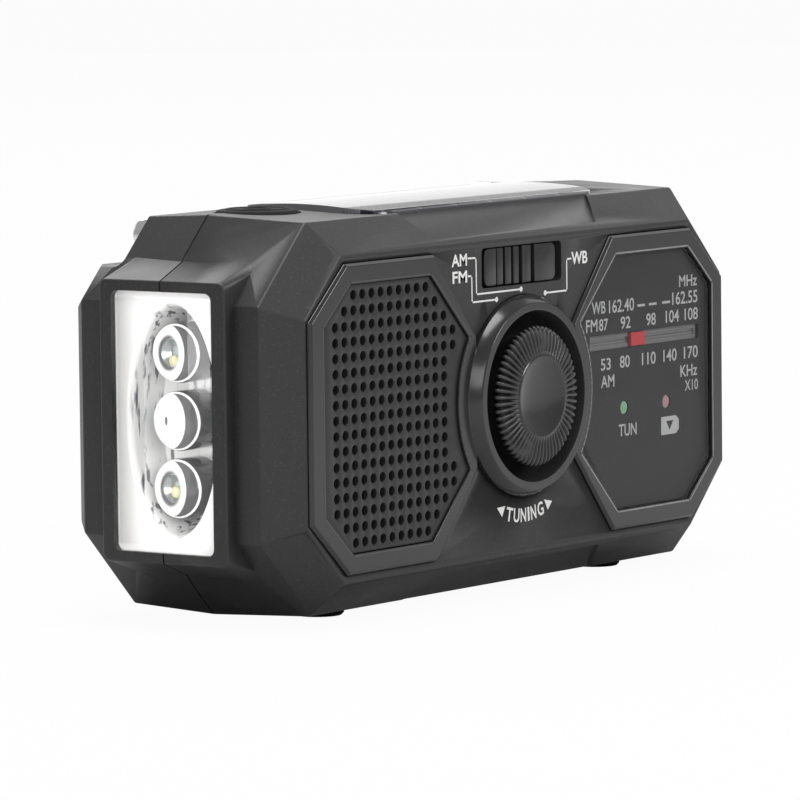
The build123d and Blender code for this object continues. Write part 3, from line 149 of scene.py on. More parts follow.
class Finish:
    """A material built round one Principled shader."""

    def __init__(self, name):
        self.material = bpy.data.materials.new(name)
        self.material.use_nodes = True
        self.tree = self.material.node_tree
        self.tree.nodes.clear()
        self.output = self.tree.nodes.new("ShaderNodeOutputMaterial")
        self.shader = self.tree.nodes.new("ShaderNodeBsdfPrincipled")
        self.tree.links.new(self.shader.outputs[0], self.output.inputs[0])

    def put(self, socket, value):
        if isinstance(value, Signal):
            self.tree.links.new(value.socket, socket)
        else:
            socket.default_value = value

    def node(self, kind, settings=None, values=None, out=0):
        made = self.tree.nodes.new(kind)
        for key, value in (settings or {}).items():
            if key == "stops":
                self.set_stops(made.color_ramp, value)
            else:
                setattr(made, key, value)
        for key, value in (values or {}).items():
            self.put(made.inputs[key], value)
        return Signal(self, made.outputs[out])

    def maths(self, operation, first, second=0.0):
        return self.node("ShaderNodeMath", {"operation": operation}, {0: first, 1: second})

    def set_stops(self, ramp, stops):
        while len(ramp.elements) > 1:
            ramp.elements.remove(ramp.elements[-1])
        for index, (place, shade) in enumerate(stops):
            element = ramp.elements[0] if index == 0 else ramp.elements.new(place)
            element.position = place
            element.color = (shade, shade, shade, 1)

    def set(self, **values):
        for key, value in values.items():
            self.put(self.shader.inputs[key.replace("_", " ")], value)

    def point(self):
        return self.node("ShaderNodeTexCoord", out="Object")

    def axes(self):
        parts = self.node("ShaderNodeSeparateXYZ", values={0: self.point()}).socket.node
        return [Signal(self, part) for part in parts.outputs]

    def noise(self, per_mm, detail=2.0, roughness=0.5, stretch=None):
        where = self.point()
        if stretch:
            where = self.node("ShaderNodeMapping", values={"Vector": where, "Scale": stretch})
        return self.node("ShaderNodeTexNoise", values={
            "Vector": where, "Scale": per_mm / MM, "Detail": detail, "Roughness": roughness})

    def ramp(self, value, stops):
        return self.node("ShaderNodeValToRGB", {"stops": stops}, {0: value})

    def blend(self, first, second, share):
        """Goes from the first colour to the second as the share goes from 0 to 1."""
        first, second = (c if isinstance(c, Signal) else (*c, 1) for c in (first, second))
        ends = {"Factor": share, 6: first, 7: second}
        return self.node("ShaderNodeMix", {"data_type": "RGBA"}, ends, out=2)

    def most(self, first, second):
        return self.maths("MAXIMUM", first, second)

    def bump(self, height, depth_mm, strength):
        return self.node("ShaderNodeBump", values={
            "Strength": strength, "Distance": depth_mm * MM, "Height": height})

    def show_mix(self, share, values, own):
        """Shows a mix of the Principled shader, at the socket given by own, with another shader."""
        mixed = self.node("ShaderNodeMixShader", values={0: share, **values})
        self.tree.links.new(self.shader.outputs[0], mixed.socket.node.inputs[own])
        self.tree.links.new(mixed.socket, self.output.inputs[0])


FINISHES = {}


def finish(name):
    """The named material, made once."""
    if name not in FINISHES:
        made = Finish(name)
        RECIPES[name](made)
        FINISHES[name] = made.material
    return FINISHES[name]


def dye(colour, change):
    return tuple(max(0.0, c * change) for c in colour[:3])


def moulded(m, colour, rough, grain_per_mm=3.2, depth_mm=0.016, spread=0.12):
    """Matt moulded plastic: fine spark texture, faint cloudiness, slightly uneven gloss."""
    grain = m.noise(grain_per_mm, 3.0, 0.6)
    cloud = m.noise(0.12, 2.0)
    smudge = m.noise(0.35, 4.0, 0.65)
    m.set(Base_Color=m.blend(dye(colour, 1 - spread), dye(colour, 1 + spread), cloud * 0.6 + grain * 0.4),
          Roughness=rough - 0.06 + smudge * 0.12, Normal=m.bump(grain, depth_mm, 0.5),
          Specular_IOR_Level=0.42)


def from_knob(m):
    """Distance from the knob's axis, in metres."""
    x, y, z = m.axes()
    up = z - MIDDLE_Z
    return (x * x + up * up).power(0.5)


def case_plastic(m):
    """Sparkled shell plastic, black where the knob's well is never lit."""
    x, y, z = m.axes()
    well = from_knob(m).below(WELL_R) * y.below(FACE_Y + 3 * MM)
    grain = m.noise(2.3, 3.0, 0.65)
    fleck = m.ramp(grain, [(0.58, 0.0), (0.72, 1.0)])
    cloud = m.noise(0.12, 2.0)
    shade = radio().case_colour
    plain = m.blend(dye(shade, 0.9), dye(shade, 1.12), cloud)
    sparkle = m.blend(plain, dye(shade, 2.4), fleck * 0.8)
    m.set(Base_Color=m.blend(sparkle, UNLIT, well),
          Roughness=0.36 + m.noise(0.35, 4.0, 0.65) * 0.1 + well * 0.4,
          Normal=m.bump(grain, 0.026, 0.55), Specular_IOR_Level=0.42)


def grille_plastic(m):
    moulded(m, radio().grille_colour, 0.40, 3.0, 0.012)


def glossy(m, colour, rough, haze):
    """Polished plastic with a faint wave and hair scratches; returns its colour and roughness."""
    wave = m.noise(0.08, 1.0)
    scratch = m.noise(0.9, 3.0, 0.7, stretch=(1, 1, 12))
    shade = m.blend(dye(colour, 0.85), dye(colour, 1.15), wave)
    gloss = rough + scratch * haze
    m.set(Base_Color=shade, Roughness=gloss, Normal=m.bump(wave, 0.05, 0.3))
    return shade, gloss


def trim_gloss(m):
    """Polished frame; the wall inside its ring is satin, and painted paler as painted light."""
    # painted light: the ring's inner wall gets a paler colour than the frame where the lamps light it
    lit_wall_colour = (0.035, 0.034, 0.0345)
    inside = from_knob(m).below(RING_WALL_R + 0.15 * MM)
    shade, gloss = glossy(m, radio().trim_colour, 0.15, 0.07)
    m.set(Base_Color=m.blend(shade, lit_wall_colour, inside), Roughness=gloss + inside * 0.3,
          Specular_IOR_Level=0.6)


def knob_plastic(m):
    glossy(m, radio().knob_colour, 0.24, 0.10)


def knob_ribs(m):
    """Glossy disc, and ribs with painted shade in their grooves and painted highlights on their crests; the
    part behind the rim is painted black as painted shade.
    """
    x, y, z = m.axes()
    turn = m.maths("ARCTAN2", z - MIDDLE_Z, x) * (radio().knob_ridges / math.tau)
    groove = m.ramp((turn.fraction() - 0.5).size() * 2.0, [(0.30, 0.0), (0.62, 1.0)])
    ribbed = from_knob(m).above(KNOB_DISC_R)
    shade = radio().knob_colour
    wave = m.noise(0.5, 2.0)
    # painted highlight on the ribs' crests, painted shade in their grooves
    lit_crests = m.blend(dye(shade, 1.5), dye(shade, 2.3), wave)
    ribs = m.blend(lit_crests, dye(shade, 0.12), groove)
    disc = m.blend(dye(shade, 0.95), dye(shade, 1.15), wave)
    # painted shade: black on the knob behind its rim, deep in the well
    behind = y.above(FACE_Y - 2.0 * MM)
    m.set(Base_Color=m.blend(m.blend(disc, ribs, ribbed), UNLIT, behind),
          Roughness=0.13 + wave * 0.05 + ribbed * 0.2 + behind * 0.5, Normal=m.bump(wave, 0.004, 0.2))


def rubber_dark(m):
    """Matt rubber, dusty in places."""
    colour = (0.012, 0.012, 0.013)
    grain = m.noise(2.2, 4.0, 0.6)
    dust = m.noise(0.25, 3.0)
    m.set(Base_Color=m.blend(dye(colour, 0.8), dye(colour, 1.35), dust * 0.5 + grain * 0.5),
          Roughness=0.7 + dust * 0.15, Normal=m.bump(grain, 0.02, 0.5), Specular_IOR_Level=0.2)


def metal(m, colour, rough, brushed=(1, 1, 1), depth_mm=0.006):
    """Metal with brush lines along the long axis given by a small stretch."""
    lines = m.noise(1.6, 4.0, 0.7, stretch=brushed)
    stain = m.noise(0.3, 3.0)
    m.set(Base_Color=m.blend(dye(colour, 0.88), dye(colour, 1.05), lines * 0.5 + stain * 0.5),
          Metallic=1.0, Roughness=rough - 0.05 + stain * 0.1 + lines * 0.05,
          Normal=m.bump(lines, depth_mm, 0.35))


def steel(m):
    metal(m, (0.56, 0.56, 0.57), 0.32, (1, 8, 8))


def bronze(m):
    metal(m, (0.62, 0.40, 0.17), 0.34, (8, 8, 1))


def antenna_chrome(m):
    metal(m, (0.78, 0.78, 0.79), 0.12, (0.3, 6, 6), 0.003)


def magnet(m):
    metal(m, (0.09, 0.09, 0.095), 0.5)


def cell(m):
    metal(m, (0.30, 0.33, 0.38), 0.45, (1, 1, 6))


def chip_cup(m):
    metal(m, (0.42, 0.47, 0.48), 0.22)


def reflector_chrome(m):
    """Plated plastic: painted white reflection on its flat plate, lined with painted grey reflections and
    more metallic deep in the bowl.
    """
    # painted reflection: white for the bright room that the plate mirrors, grey for the lines in the bowl
    white, grey = (0.86, 0.855, 0.85), (0.14, 0.14, 0.15)
    ripple = m.noise(0.5, 3.0, 0.6)
    x, y, z = m.axes()
    deep = m.ramp((x - LENS_HIGH.x) / BOWL_FADE, [(0.05, 0.0), (0.3, 1.0)])
    reflection_streak = m.ramp(m.noise(1.0, 3.0, 0.5, stretch=(1.0, 1.0, 0.1)), [(0.54, 0.0), (0.62, 1.0)])
    glint = m.noise(1.6, 4.0, 0.7)
    m.set(Base_Color=m.blend(white, grey, reflection_streak * deep), Metallic=deep * 0.3, Specular_IOR_Level=0.15,
          Roughness=0.07 + ripple * 0.05, Normal=m.bump(ripple * 0.3 + glint * deep, 0.09, 0.5))


def clear(m, gloss=1.0, edge=0.0, milky=0.0, mirror=0.97):
    """Clear pane: light goes straight through and a fresnel share is mirrored; cut edges are solid."""
    dust = m.noise(0.5, 4.0, 0.7)
    glass = 1.0 - edge
    solid = m.blend((0.02, 0.02, 0.02), (0.95, 0.95, 0.95), milky)
    m.set(Base_Color=m.blend(solid, (mirror, mirror, mirror), glass), Metallic=glass,
          Roughness=0.03 + dust * 0.05)
    see = m.node("ShaderNodeBsdfTransparent", values={"Color": WHITE})
    rim = m.node("ShaderNodeFresnel", values={"IOR": 1.49})
    inside = m.node("ShaderNodeNewGeometry", out="Backfacing")
    m.show_mix(m.most(rim * (1 - inside) * gloss + dust * 0.012, edge), {1: see}, 2)


def clear_plastic(m):
    clear(m, gloss=2.2, mirror=0.17)


def torch_clear(m):
    """The torch's window: its cut sides are painted dark as painted shade between two milky edges that are
    painted highlights, its face is clear.
    """
    x, y, z = m.axes()
    side = (y - TORCH_Y).size().above(LENS_SIDE)
    end = (z - MIDDLE_Z).size().above(LENS_END)
    through = (x - LENS_LOW.x) / (LENS_HIGH.x - LENS_LOW.x)
    # painted highlights: two milky bands through the window's thickness; painted shade: dark cut sides
    milky = m.ramp(through, [(0.16, 1.0), (0.2, 0.0), (0.5, 0.0), (0.54, 1.0)])
    clear(m, edge=m.most(side, end), milky=m.most(milky, end * 0.8))


def lamp_oval(y, z, shift, half_w, half_h):
    """How far a point lies out of an oval round the nearest lamp's axis; 1 is its edge."""
    across = (y - (TORCH_Y + shift * MM)) / (half_w * MM)
    up = (((z - MIDDLE_Z) / (LAMP_PITCH * MM) + 0.5).fraction() - 0.5) * (LAMP_PITCH / half_h)
    return (across * across + up * up).power(0.5)


def lamp_resin(m, window):
    """Lens of a lamp: milky disc, dark side turned from the light, painted highlight on its rim, painted
    shade with a teal painted reflection on its sides, clear window in the middle.
    """
    x, y, z = m.axes()
    swirl = m.noise(0.6, 2.0)
    cloud = m.ramp(m.noise(0.8, 3.0, 0.6), [(0.45, 1.0), (0.7, 0.72)])
    milky = m.ramp(lamp_oval(y, z, 1.35, 3.5, 4.5), [(0.95, 1.0), (1.05, 0.0)])
    # painted highlight: a bright rim round each lamp
    rim = m.ramp(lamp_oval(y, z, 0, 4.35, 4.35), [(0.97, 0.0), (1.0, 1.0)])
    front = (x - (LAMP_TIP_X + 0.75 * MM)).below(0.0)
    bright = m.most(milky * cloud, rim) * front
    deep = (x - LAMP_TIP_X) / (7 * MM)
    # painted reflection: a teal patch deep on the lamp's side, whose dark colour is painted shade
    patch = m.ramp(lamp_oval(y, z, 0, 40, 1.6), [(0.5, 1.0), (1.1, 0.0)])
    patch = patch * m.ramp(deep, [(0.45, 0.0), (0.55, 1.0)])
    barrel_shade_and_reflection = m.blend((0.05, 0.05, 0.052), (0.16, 0.27, 0.27), patch)
    if window:
        clear_share = m.ramp(lamp_oval(y, z, 1.0, 2.3, 3.1), [(0.8, 0.12), (1.0, 1.0)])
    else:
        clear_share = swirl * 0.05 + 0.95
        mark = m.ramp(lamp_oval(y, z, 1.6, 0.3, 0.8), [(0.8, 0.0), (1.1, 1.0)])
        bright = bright * mark
    m.set(Base_Color=m.blend(barrel_shade_and_reflection, (0.95, 0.95, 0.945), bright), Roughness=0.06 + swirl * 0.04,
          Coat_Weight=0.8, Alpha=clear_share, Normal=m.bump(swirl, 0.05, 0.3))


def led_clear(m):
    lamp_resin(m, True)


def lamp_milky(m):
    lamp_resin(m, False)


def panel_cover(m):
    """Cover over dark cells with paler lines between and across them; its ends past the cells are pale."""
    wave = m.noise(0.05, 1.0)
    x, y, z = m.axes()
    on_top = z.above(PANEL_EDGE_Z)
    gap = ((x / CELL_PITCH).fraction() - 0.5).size().above(0.475)
    finger = ((y / FINGER_PITCH).fraction() - 0.5).size().above(0.46)
    cells = m.blend((0.009, 0.010, 0.014), (0.016, 0.018, 0.024), wave)
    pale = m.most((gap * 0.7 + finger * 0.2) * on_top, x.size().above(PANEL_END_X))
    m.set(Base_Color=m.blend(cells, (0.2, 0.2, 0.21), pale), Roughness=0.22, Coat_Weight=1.0,
          Coat_Roughness=0.04, Normal=m.bump(wave, 0.03, 0.3))


def patchy(m, darker, paler, rough, patch_per_mm, spread=0.1):
    """Flat colour that is paler and duller in patches; returns the patches."""
    patch = m.noise(patch_per_mm, 3.0, 0.6)
    m.set(Base_Color=m.blend(darker, paler, patch), Roughness=rough + patch * spread)
    return patch


def dial_print(m):
    patchy(m, (0.0125, 0.0125, 0.013), (0.016, 0.016, 0.0165), 0.55, 0.4, 0.15)


def white_print(m):
    """Screen-printed ink, a little uneven."""
    patch = patchy(m, (0.62, 0.62, 0.62), (0.80, 0.80, 0.79), 0.42, 2.5)
    m.set(Normal=m.bump(patch, 0.004, 0.3))


def dial_ink(m):
    patchy(m, (0.40, 0.41, 0.41), (0.56, 0.57, 0.57), 0.5, 2.0)


def painted_edge_highlight(m):
    """Painted highlight of the frame's rounded edge round the clear pane."""
    patchy(m, (0.13, 0.13, 0.132), (0.30, 0.30, 0.30), 0.3, 0.6)


def faint_painted_edge_highlight(m):
    """Faint painted highlight of the frame's rounded edge round the perforated pane."""
    patchy(m, (0.035, 0.035, 0.036), (0.085, 0.085, 0.086), 0.3, 0.6)


def pointer_red(m):
    """Dark slider whose head in the dial's slot is red."""
    x, y, z = m.axes()
    head = y.below(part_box("pointer_track")[0].y)
    grain = m.noise(1.5, 2.0)
    m.set(Base_Color=m.blend((0.16, 0.16, 0.16), (0.52, 0.035, 0.05), head), Roughness=0.38 + grain * 0.08,
          Normal=m.bump(grain, 0.01, 0.4))


def lamp(m, colour):
    swirl = m.noise(1.0, 2.0)
    m.set(Base_Color=m.blend(dye(colour, 0.8), dye(colour, 1.1), swirl), Roughness=0.2 + swirl * 0.1,
          Coat_Weight=0.6, Normal=m.bump(swirl, 0.01, 0.2))


def lamp_green(m):
    lamp(m, (0.20, 0.42, 0.27))


def lamp_red(m):
    lamp(m, (0.42, 0.22, 0.23))


def silicon(m):
    moulded(m, (0.01, 0.013, 0.03), 0.25, 1.0)


def track_grey(m):
    moulded(m, (0.20, 0.20, 0.202), 0.5, 1.5, 0.01)


def nylon(m):
    moulded(m, (0.72, 0.70, 0.62), 0.45, 1.2, 0.01, 0.06)


def switch_black(m):
    moulded(m, (0.02, 0.02, 0.02), 0.45, 1.6, 0.01)


def cone_paper(m):
    moulded(m, (0.03, 0.03, 0.03), 0.8, 1.8, 0.04, 0.3)


def board(m):
    """Lacquered board with tracks under the lacquer."""
    x, y, z = m.axes()
    track = m.noise(0.45, 0.0, stretch=(1, 1, 0.25)).above(0.52)
    m.set(Base_Color=m.blend((0.012, 0.10, 0.035), (0.03, 0.19, 0.07), track), Roughness=0.28 + track * 0.08,
          Coat_Weight=0.5, Normal=m.bump(track, 0.03, 0.3))


def phosphor(m):
    grain = m.noise(3.0, 3.0)
    m.set(Base_Color=m.blend((0.66, 0.64, 0.28), (0.82, 0.80, 0.45), grain), Roughness=0.5 + grain * 0.2)


RECIPES = {maker.__name__: maker for maker in (
    case_plastic, grille_plastic, trim_gloss, knob_plastic, knob_ribs, rubber_dark, steel, bronze,
    antenna_chrome, magnet, cell, chip_cup, reflector_chrome, clear_plastic, torch_clear, led_clear,
    lamp_milky, panel_cover, dial_print, white_print, dial_ink, painted_edge_highlight, faint_painted_edge_highlight, pointer_red,
    lamp_green, lamp_red, silicon, track_grey, nylon, switch_black, cone_paper, board, phosphor)}

NODE_FINISH = {
    "case_plastic": ["front_shell", "rear_shell", "crank_arm"],
    "trim_gloss": ["front_trim"],
    "grille_plastic": ["speaker_grille"],
    "knob_ribs": ["tuning_knob"],
    "knob_plastic": ["band_slider", "grip_sleeve", "grip_post", "volume_wheel"],
    "clear_plastic": ["dial_window"],
    "torch_clear": ["torch_lens"],
    "panel_cover": ["solar_window"],
    "silicon": ["solar_cell"],
    "dial_print": ["dial_plate"],
    "track_grey": ["pointer_track"],
    "pointer_red": ["pointer_slider"],
    "lamp_green": ["tuning_led"],
    "lamp_red": ["battery_led"],
    "led_clear": ["torch_leds"],
    "reflector_chrome": ["torch_reflector"],
    "rubber_dark": ["torch_button", "feet", "port_cover"],
    "nylon": ["tuning_pinion", "capacitor_gear", "crank_gear", "idler_gear", "gear_plate", "band_switch_body",
              "tuning_capacitor"],
    "board": ["main_board", "torch_board"],
    "switch_black": ["torch_switch", "volume_pot"],
    "steel": ["case_screws", "crank_screw", "antenna_screw", "grip_pin", "elbow_pin", "idler_pin",
              "crank_shaft", "generator_can", "usb_a_socket", "usb_c_socket", "speaker_basket"],
    "bronze": ["crank_bush", "ferrite_coil"],
    "magnet": ["speaker_magnet", "generator_rotor", "ferrite_rod"],
    "cone_paper": ["speaker_cone"],
    "cell": ["battery"],
    "antenna_chrome": ["antenna_section_1", "antenna_section_2", "antenna_section_3", "antenna_section_4",
                       "antenna_tip", "antenna_knuckle"],
}
FINISH_OF = {node: name for name, nodes in NODE_FINISH.items() for node in nodes}
BODY_OF = {n: body for body, nodes in frame["record"]["behaviour"]["bodies"].items() for n in nodes}
SLOT_OF = {s["node"]: s["material_slot"] for s in frame["record"]["subparts"]}
SKINNED = ["front_shell", "rear_shell", "front_trim", "crank_arm", "grip_sleeve", "grip_post", "volume_wheel",
           "feet", "port_cover", "case_screws", "crank_screw", "antenna_screw", "antenna_section_1",
           "antenna_section_2", "antenna_section_3", "antenna_section_4", "antenna_tip", "antenna_knuckle",
           "solar_window", "torch_lens", "dial_window", "crank_bush"]
SKIN_ANGLE = 35  # degrees; edges that are sharper than this stay crisp
SHELL_ANGLES = {"front_shell": 24, "rear_shell": 12}
ROUNDED = {"front_trim": (0.17, 3, 25)}  # width in mm, segments, smallest edge angle in degrees
LARGE_FACE = 4 * MM * MM


# ---- mesh helpers ----
def add_piece(name, mesh, body, material, node=None, slot=None):
    """Links a finished mesh as a piece that rides on a body."""
    piece = bpy.data.objects.new(name, mesh)
    bpy.context.scene.collection.objects.link(piece)
    mesh.materials.clear()
    mesh.materials.append(finish(material))
    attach(piece, body)
    if node:
        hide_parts(node)
    slot = slot or SLOT_OF.get(node)
    return piece


def mesh_from(bm, name, smooth_angle=None):
    mesh = bpy.data.meshes.new(name)
    bm.to_mesh(mesh)
    bm.free()
    if smooth_angle is not None:
        smooth(mesh, smooth_angle)
    return mesh


def smooth(mesh, angle):
    """Smooth shading that stays crisp at edges sharper than the angle."""
    mesh.shade_smooth()
    mesh.set_sharp_from_angle(angle=math.radians(angle))


def flatten(mesh, is_flat):
    """Gives the faces that pass the test flat shading, so that round edges beside them don't bend them."""
    for face in mesh.polygons:
        if is_flat(face):
            face.use_smooth = False


def merge(bm, distance=0.002 * MM):
    bmesh.ops.remove_doubles(bm, verts=bm.verts, dist=distance)


def turned(points, steps, centre, axis=(0, 1, 0), along=(1, 0, 0)):
    """Spins an outline of (radius, depth) millimetres about an axis through the centre."""
    bm = bmesh.new()
    out, run = Vector(along), Vector(axis)
    chain = [bm.verts.new(centre + out * (r * MM) + run * (d * MM)) for r, d in points]
    links = [bm.edges.new(pair) for pair in zip(chain, chain[1:])]
    bmesh.ops.spin(bm, geom=chain + links, cent=centre, axis=run, angle=math.tau, steps=steps, use_merge=True)
    merge(bm)
    bmesh.ops.recalc_face_normals(bm, faces=bm.faces)
    return bm


def block(bm, low, high):
    """Adds a box between two corners."""
    size = high - low
    place = Matrix.Translation((low + high) / 2) @ Matrix.Diagonal((*size, 1))
    bmesh.ops.create_cube(bm, size=1, matrix=place)


def rounded_edges(bm, edges, width_mm, segments, clamp=False):
    bmesh.ops.bevel(bm, geom=edges, offset=width_mm * MM, segments=segments, affect="EDGES", profile=0.5,
                    material=-1, clamp_overlap=clamp)


def soften(bm, width_mm, segments=2, angle=30):
    """Rounds every edge sharper than the angle."""
    limit = math.radians(angle)
    edges = [e for e in bm.edges if len(e.link_faces) == 2 and e.calc_face_angle(0) > limit]
    rounded_edges(bm, edges, width_mm, segments, clamp=True)


def skin(node):
    """A merged, smooth-shaded copy of a CAD node, in its place, with round edges if ROUNDED lists it."""
    bm = bmesh.new()
    bm.from_mesh(frame["nodes"][node].data)
    merge(bm, 0.0005 * MM)
    if node in ROUNDED:
        bmesh.ops.dissolve_limit(bm, angle_limit=0.002, verts=bm.verts, edges=bm.edges)
        soften(bm, *ROUNDED[node])
    mesh = mesh_from(bm, node + "_skin", SHELL_ANGLES.get(node, SKIN_ANGLE))
    if node in ROUNDED:
        flatten(mesh, lambda face: abs(face.normal.y) > 0.999 or face.area > LARGE_FACE)
    add_piece(node + "_skin", mesh, BODY_OF[node], FINISH_OF[node], node)


# ---- settings ----
def radio():
    return bpy.context.scene.radio


class RadioSettings(bpy.types.PropertyGroup):
    case_colour: FloatVectorProperty(
        name="Case colour", description="Charcoal of the two moulded shells", subtype="COLOR",
        default=(0.0250, 0.0240, 0.0243), min=0, max=1)
    grille_colour: FloatVectorProperty(
        name="Grille colour", description="Charcoal of the perforated pane", subtype="COLOR",
        default=(0.0200, 0.0193, 0.0195), min=0, max=1)
    trim_colour: FloatVectorProperty(
        name="Trim colour", description="Black of the polished frame", subtype="COLOR",
        default=(0.0165, 0.016, 0.0162), min=0, max=1)
    knob_colour: FloatVectorProperty(
        name="Knob colour", description="Black of the knob and the slider", subtype="COLOR",
        default=(0.0175, 0.017, 0.0172), min=0, max=1)
    hole_radius: FloatProperty(
        name="Hole radius", description="Radius of one hole of the grille", default=0.00078, min=0.0003,
        max=0.0011, unit="LENGTH")
    hole_pitch: FloatProperty(
        name="Hole pitch", description="Distance between the grille's holes", default=0.0024, min=0.002,
        max=0.004, unit="LENGTH")
    knob_ridges: IntProperty(
        name="Knob ridges", description="Number of ridges round the tuning knob", default=60, min=24, max=90)
    lens: FloatProperty(
        name="Lens", description="Focal length of the stage's camera in millimetres", default=288.5, min=50,
        max=500)


# ---- lettering ----
def text_mesh(words, weight=0.0):
    curve = bpy.data.curves.new("words", "FONT")
    curve.body = words
    curve.fill_mode = "FRONT"
    curve.offset = weight
    holder = bpy.data.objects.new("words", curve)
    bpy.context.scene.collection.objects.link(holder)
    bpy.context.view_layer.update()
    graph = bpy.context.evaluated_depsgraph_get()
    mesh = bpy.data.meshes.new_from_object(holder.evaluated_get(graph))
    bpy.data.objects.remove(holder)
    bpy.data.curves.remove(curve)
    return mesh


def add_words(bm, words, x0, x1, z0, z1, depth, turn=None, weight=0.012):
    """Adds words that fill a box on the plane at that depth, turned about a point if asked."""
    mesh = text_mesh(words, weight)
    xs = [v.co.x for v in mesh.vertices]
    ys = [v.co.y for v in mesh.vertices]
    fresh = bmesh.new()
    fresh.from_mesh(mesh)
    for v in fresh.verts:
        across = (v.co.x - min(xs)) / (max(xs) - min(xs))
        up = (v.co.y - min(ys)) / (max(ys) - min(ys))
        v.co = spot(x0 + across * (x1 - x0), depth, z0 + up * (z1 - z0))
    if turn:
        centre, angle = turn
        bmesh.ops.rotate(fresh, verts=fresh.verts, cent=centre, matrix=Matrix.Rotation(angle, 3, "Y"))
    fresh.to_mesh(mesh)
    fresh.free()
    bm.from_mesh(mesh)
    bpy.data.meshes.remove(mesh)


def add_stroke(bm, points, width, depth):
    """Adds a flat line of the given width through (x, z) points."""
    for (xa, za), (xb, zb) in zip(points, points[1:]):
        along = Vector((xb - xa, zb - za)).normalized() * width / 2
        side = Vector((-along.y, along.x))
        corners = [(xa - along.x + s * side.x, za - along.y + s * side.y) for s in (-1, 1)]
        corners += [(xb + along.x + s * side.x, zb + along.y + s * side.y) for s in (1, -1)]
        bm.faces.new([bm.verts.new(spot(x, depth, z)) for x, z in corners])


def facing(place):
    """The matrix that stands a flat circle up at a place, parallel to the radio's face."""
    return Matrix.Translation(place) @ Matrix.Rotation(math.pi / 2, 4, "X")


def add_disc(bm, x, z, radius, depth):
    bmesh.ops.create_circle(bm, cap_ends=True, radius=radius * MM, segments=24,
                            matrix=facing(spot(x, depth, z)))


def face_out(bm):
    """Turns flat prints towards the front."""
    for face in bm.faces:
        face.normal_update()
        if face.normal.y > 0:
            face.normal_flip()


# ---- operators ----
class RADIO_OT_finishes(bpy.types.Operator):
    """Gives every CAD node its moulded, metal or rubber finish"""
    bl_idname = "radio.finishes"
    bl_label = "Node finishes"

    def execute(self, context):
        for node, piece in frame["nodes"].items():
            piece.data.materials.clear()
            piece.data.materials.append(finish(FINISH_OF[node]))
        return {"FINISHED"}


class RADIO_OT_skins(bpy.types.Operator):
    """Makes smooth-shaded skins of the outside pieces"""
    bl_idname = "radio.skins"
    bl_label = "Smooth skins"

    def execute(self, context):
        for node in SKINNED:
            skin(node)
        return {"FINISHED"}


class RADIO_OT_grille(bpy.types.Operator):
    """Makes the speaker's pane with round, softened holes"""
    bl_idname = "radio.grille"
    bl_label = "Speaker grille"

    def execute(self, context):
        low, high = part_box("speaker_grille")
        bm = bmesh.new()
        self.outline(bm, low.y)
        self.drill(bm, low.y)
        bmesh.ops.triangle_fill(bm, use_beauty=True, edges=bm.edges, normal=(0, -1, 0))
        shell = bmesh.ops.extrude_face_region(bm, geom=bm.faces[:])
        back = [v for v in shell["geom"] if isinstance(v, bmesh.types.BMVert)]
        bmesh.ops.translate(bm, verts=back, vec=(0, high.y - low.y, 0))
        bmesh.ops.recalc_face_normals(bm, faces=bm.faces)
        rims = [e for e in bm.edges if len(e.link_faces) == 2 and e.calc_face_angle(0) > 1.2
                and all(v.co.y < low.y + 0.01 * MM for v in e.verts)]
        rounded_edges(bm, rims, 0.1, 2)
        mesh = mesh_from(bm, "grille_pane", 30)
        add_piece("grille_pane", mesh, "case", "grille_plastic", "speaker_grille")
        return {"FINISHED"}

    def outline(self, bm, y):
        """The pane's edge, read from the CAD node's front face."""
        source = bmesh.new()
        source.from_mesh(frame["nodes"]["speaker_grille"].data)
        merge(source, 0.0005 * MM)
        flat = [f for f in source.faces
                if f.normal.y < -0.99 and abs(f.calc_center_median().y - y) < 0.05 * MM]
        edges = [e for e in source.edges if sum(f in flat for f in e.link_faces) == 1]
        corners = {}
        for edge in edges:
            if self.is_rim(edge):
                ends = []
                for v in edge.verts:
                    if v.index not in corners:
                        corners[v.index] = bm.verts.new((v.co.x, y, v.co.z))
                    ends.append(corners[v.index])
                bm.edges.new(ends)
        source.free()

    def is_rim(self, edge):
        """Hole edges are short; the pane's own edges are long or lie on its curve by the knob."""
        longest_hole_edge = 1.2 * MM
        middle = (edge.verts[0].co + edge.verts[1].co) / 2
        out = math.hypot(middle.x, middle.z - MIDDLE_Z)
        return edge.calc_length() > longest_hole_edge or out < PANE_CURVE_LIMIT

    def drill(self, bm, y):
        for x, z in hole_places():
            bmesh.ops.create_circle(bm, cap_ends=False, radius=radio().hole_radius, segments=20,
                                    matrix=facing((x, y, z)))


def hole_places():
    """Seventeen rows of holes, stepped in at the corners and clear of the knob's collar."""
    columns, rows = 14, 17
    first_x = -50.98 * MM
    middle = (rows - 1) // 2
    places = []
    for row in range(rows):
        away = abs(row - middle)
        first = max(0, away - (middle - 2))
        last = columns - 1 - max(0, away - (middle - 3))
        for column in range(first, last + 1):
            x = first_x + column * radio().hole_pitch
            z = (row - middle) * radio().hole_pitch
            if math.hypot(x, z) > HOLE_FREE_R:
                places.append((x, MIDDLE_Z + z))
    return places


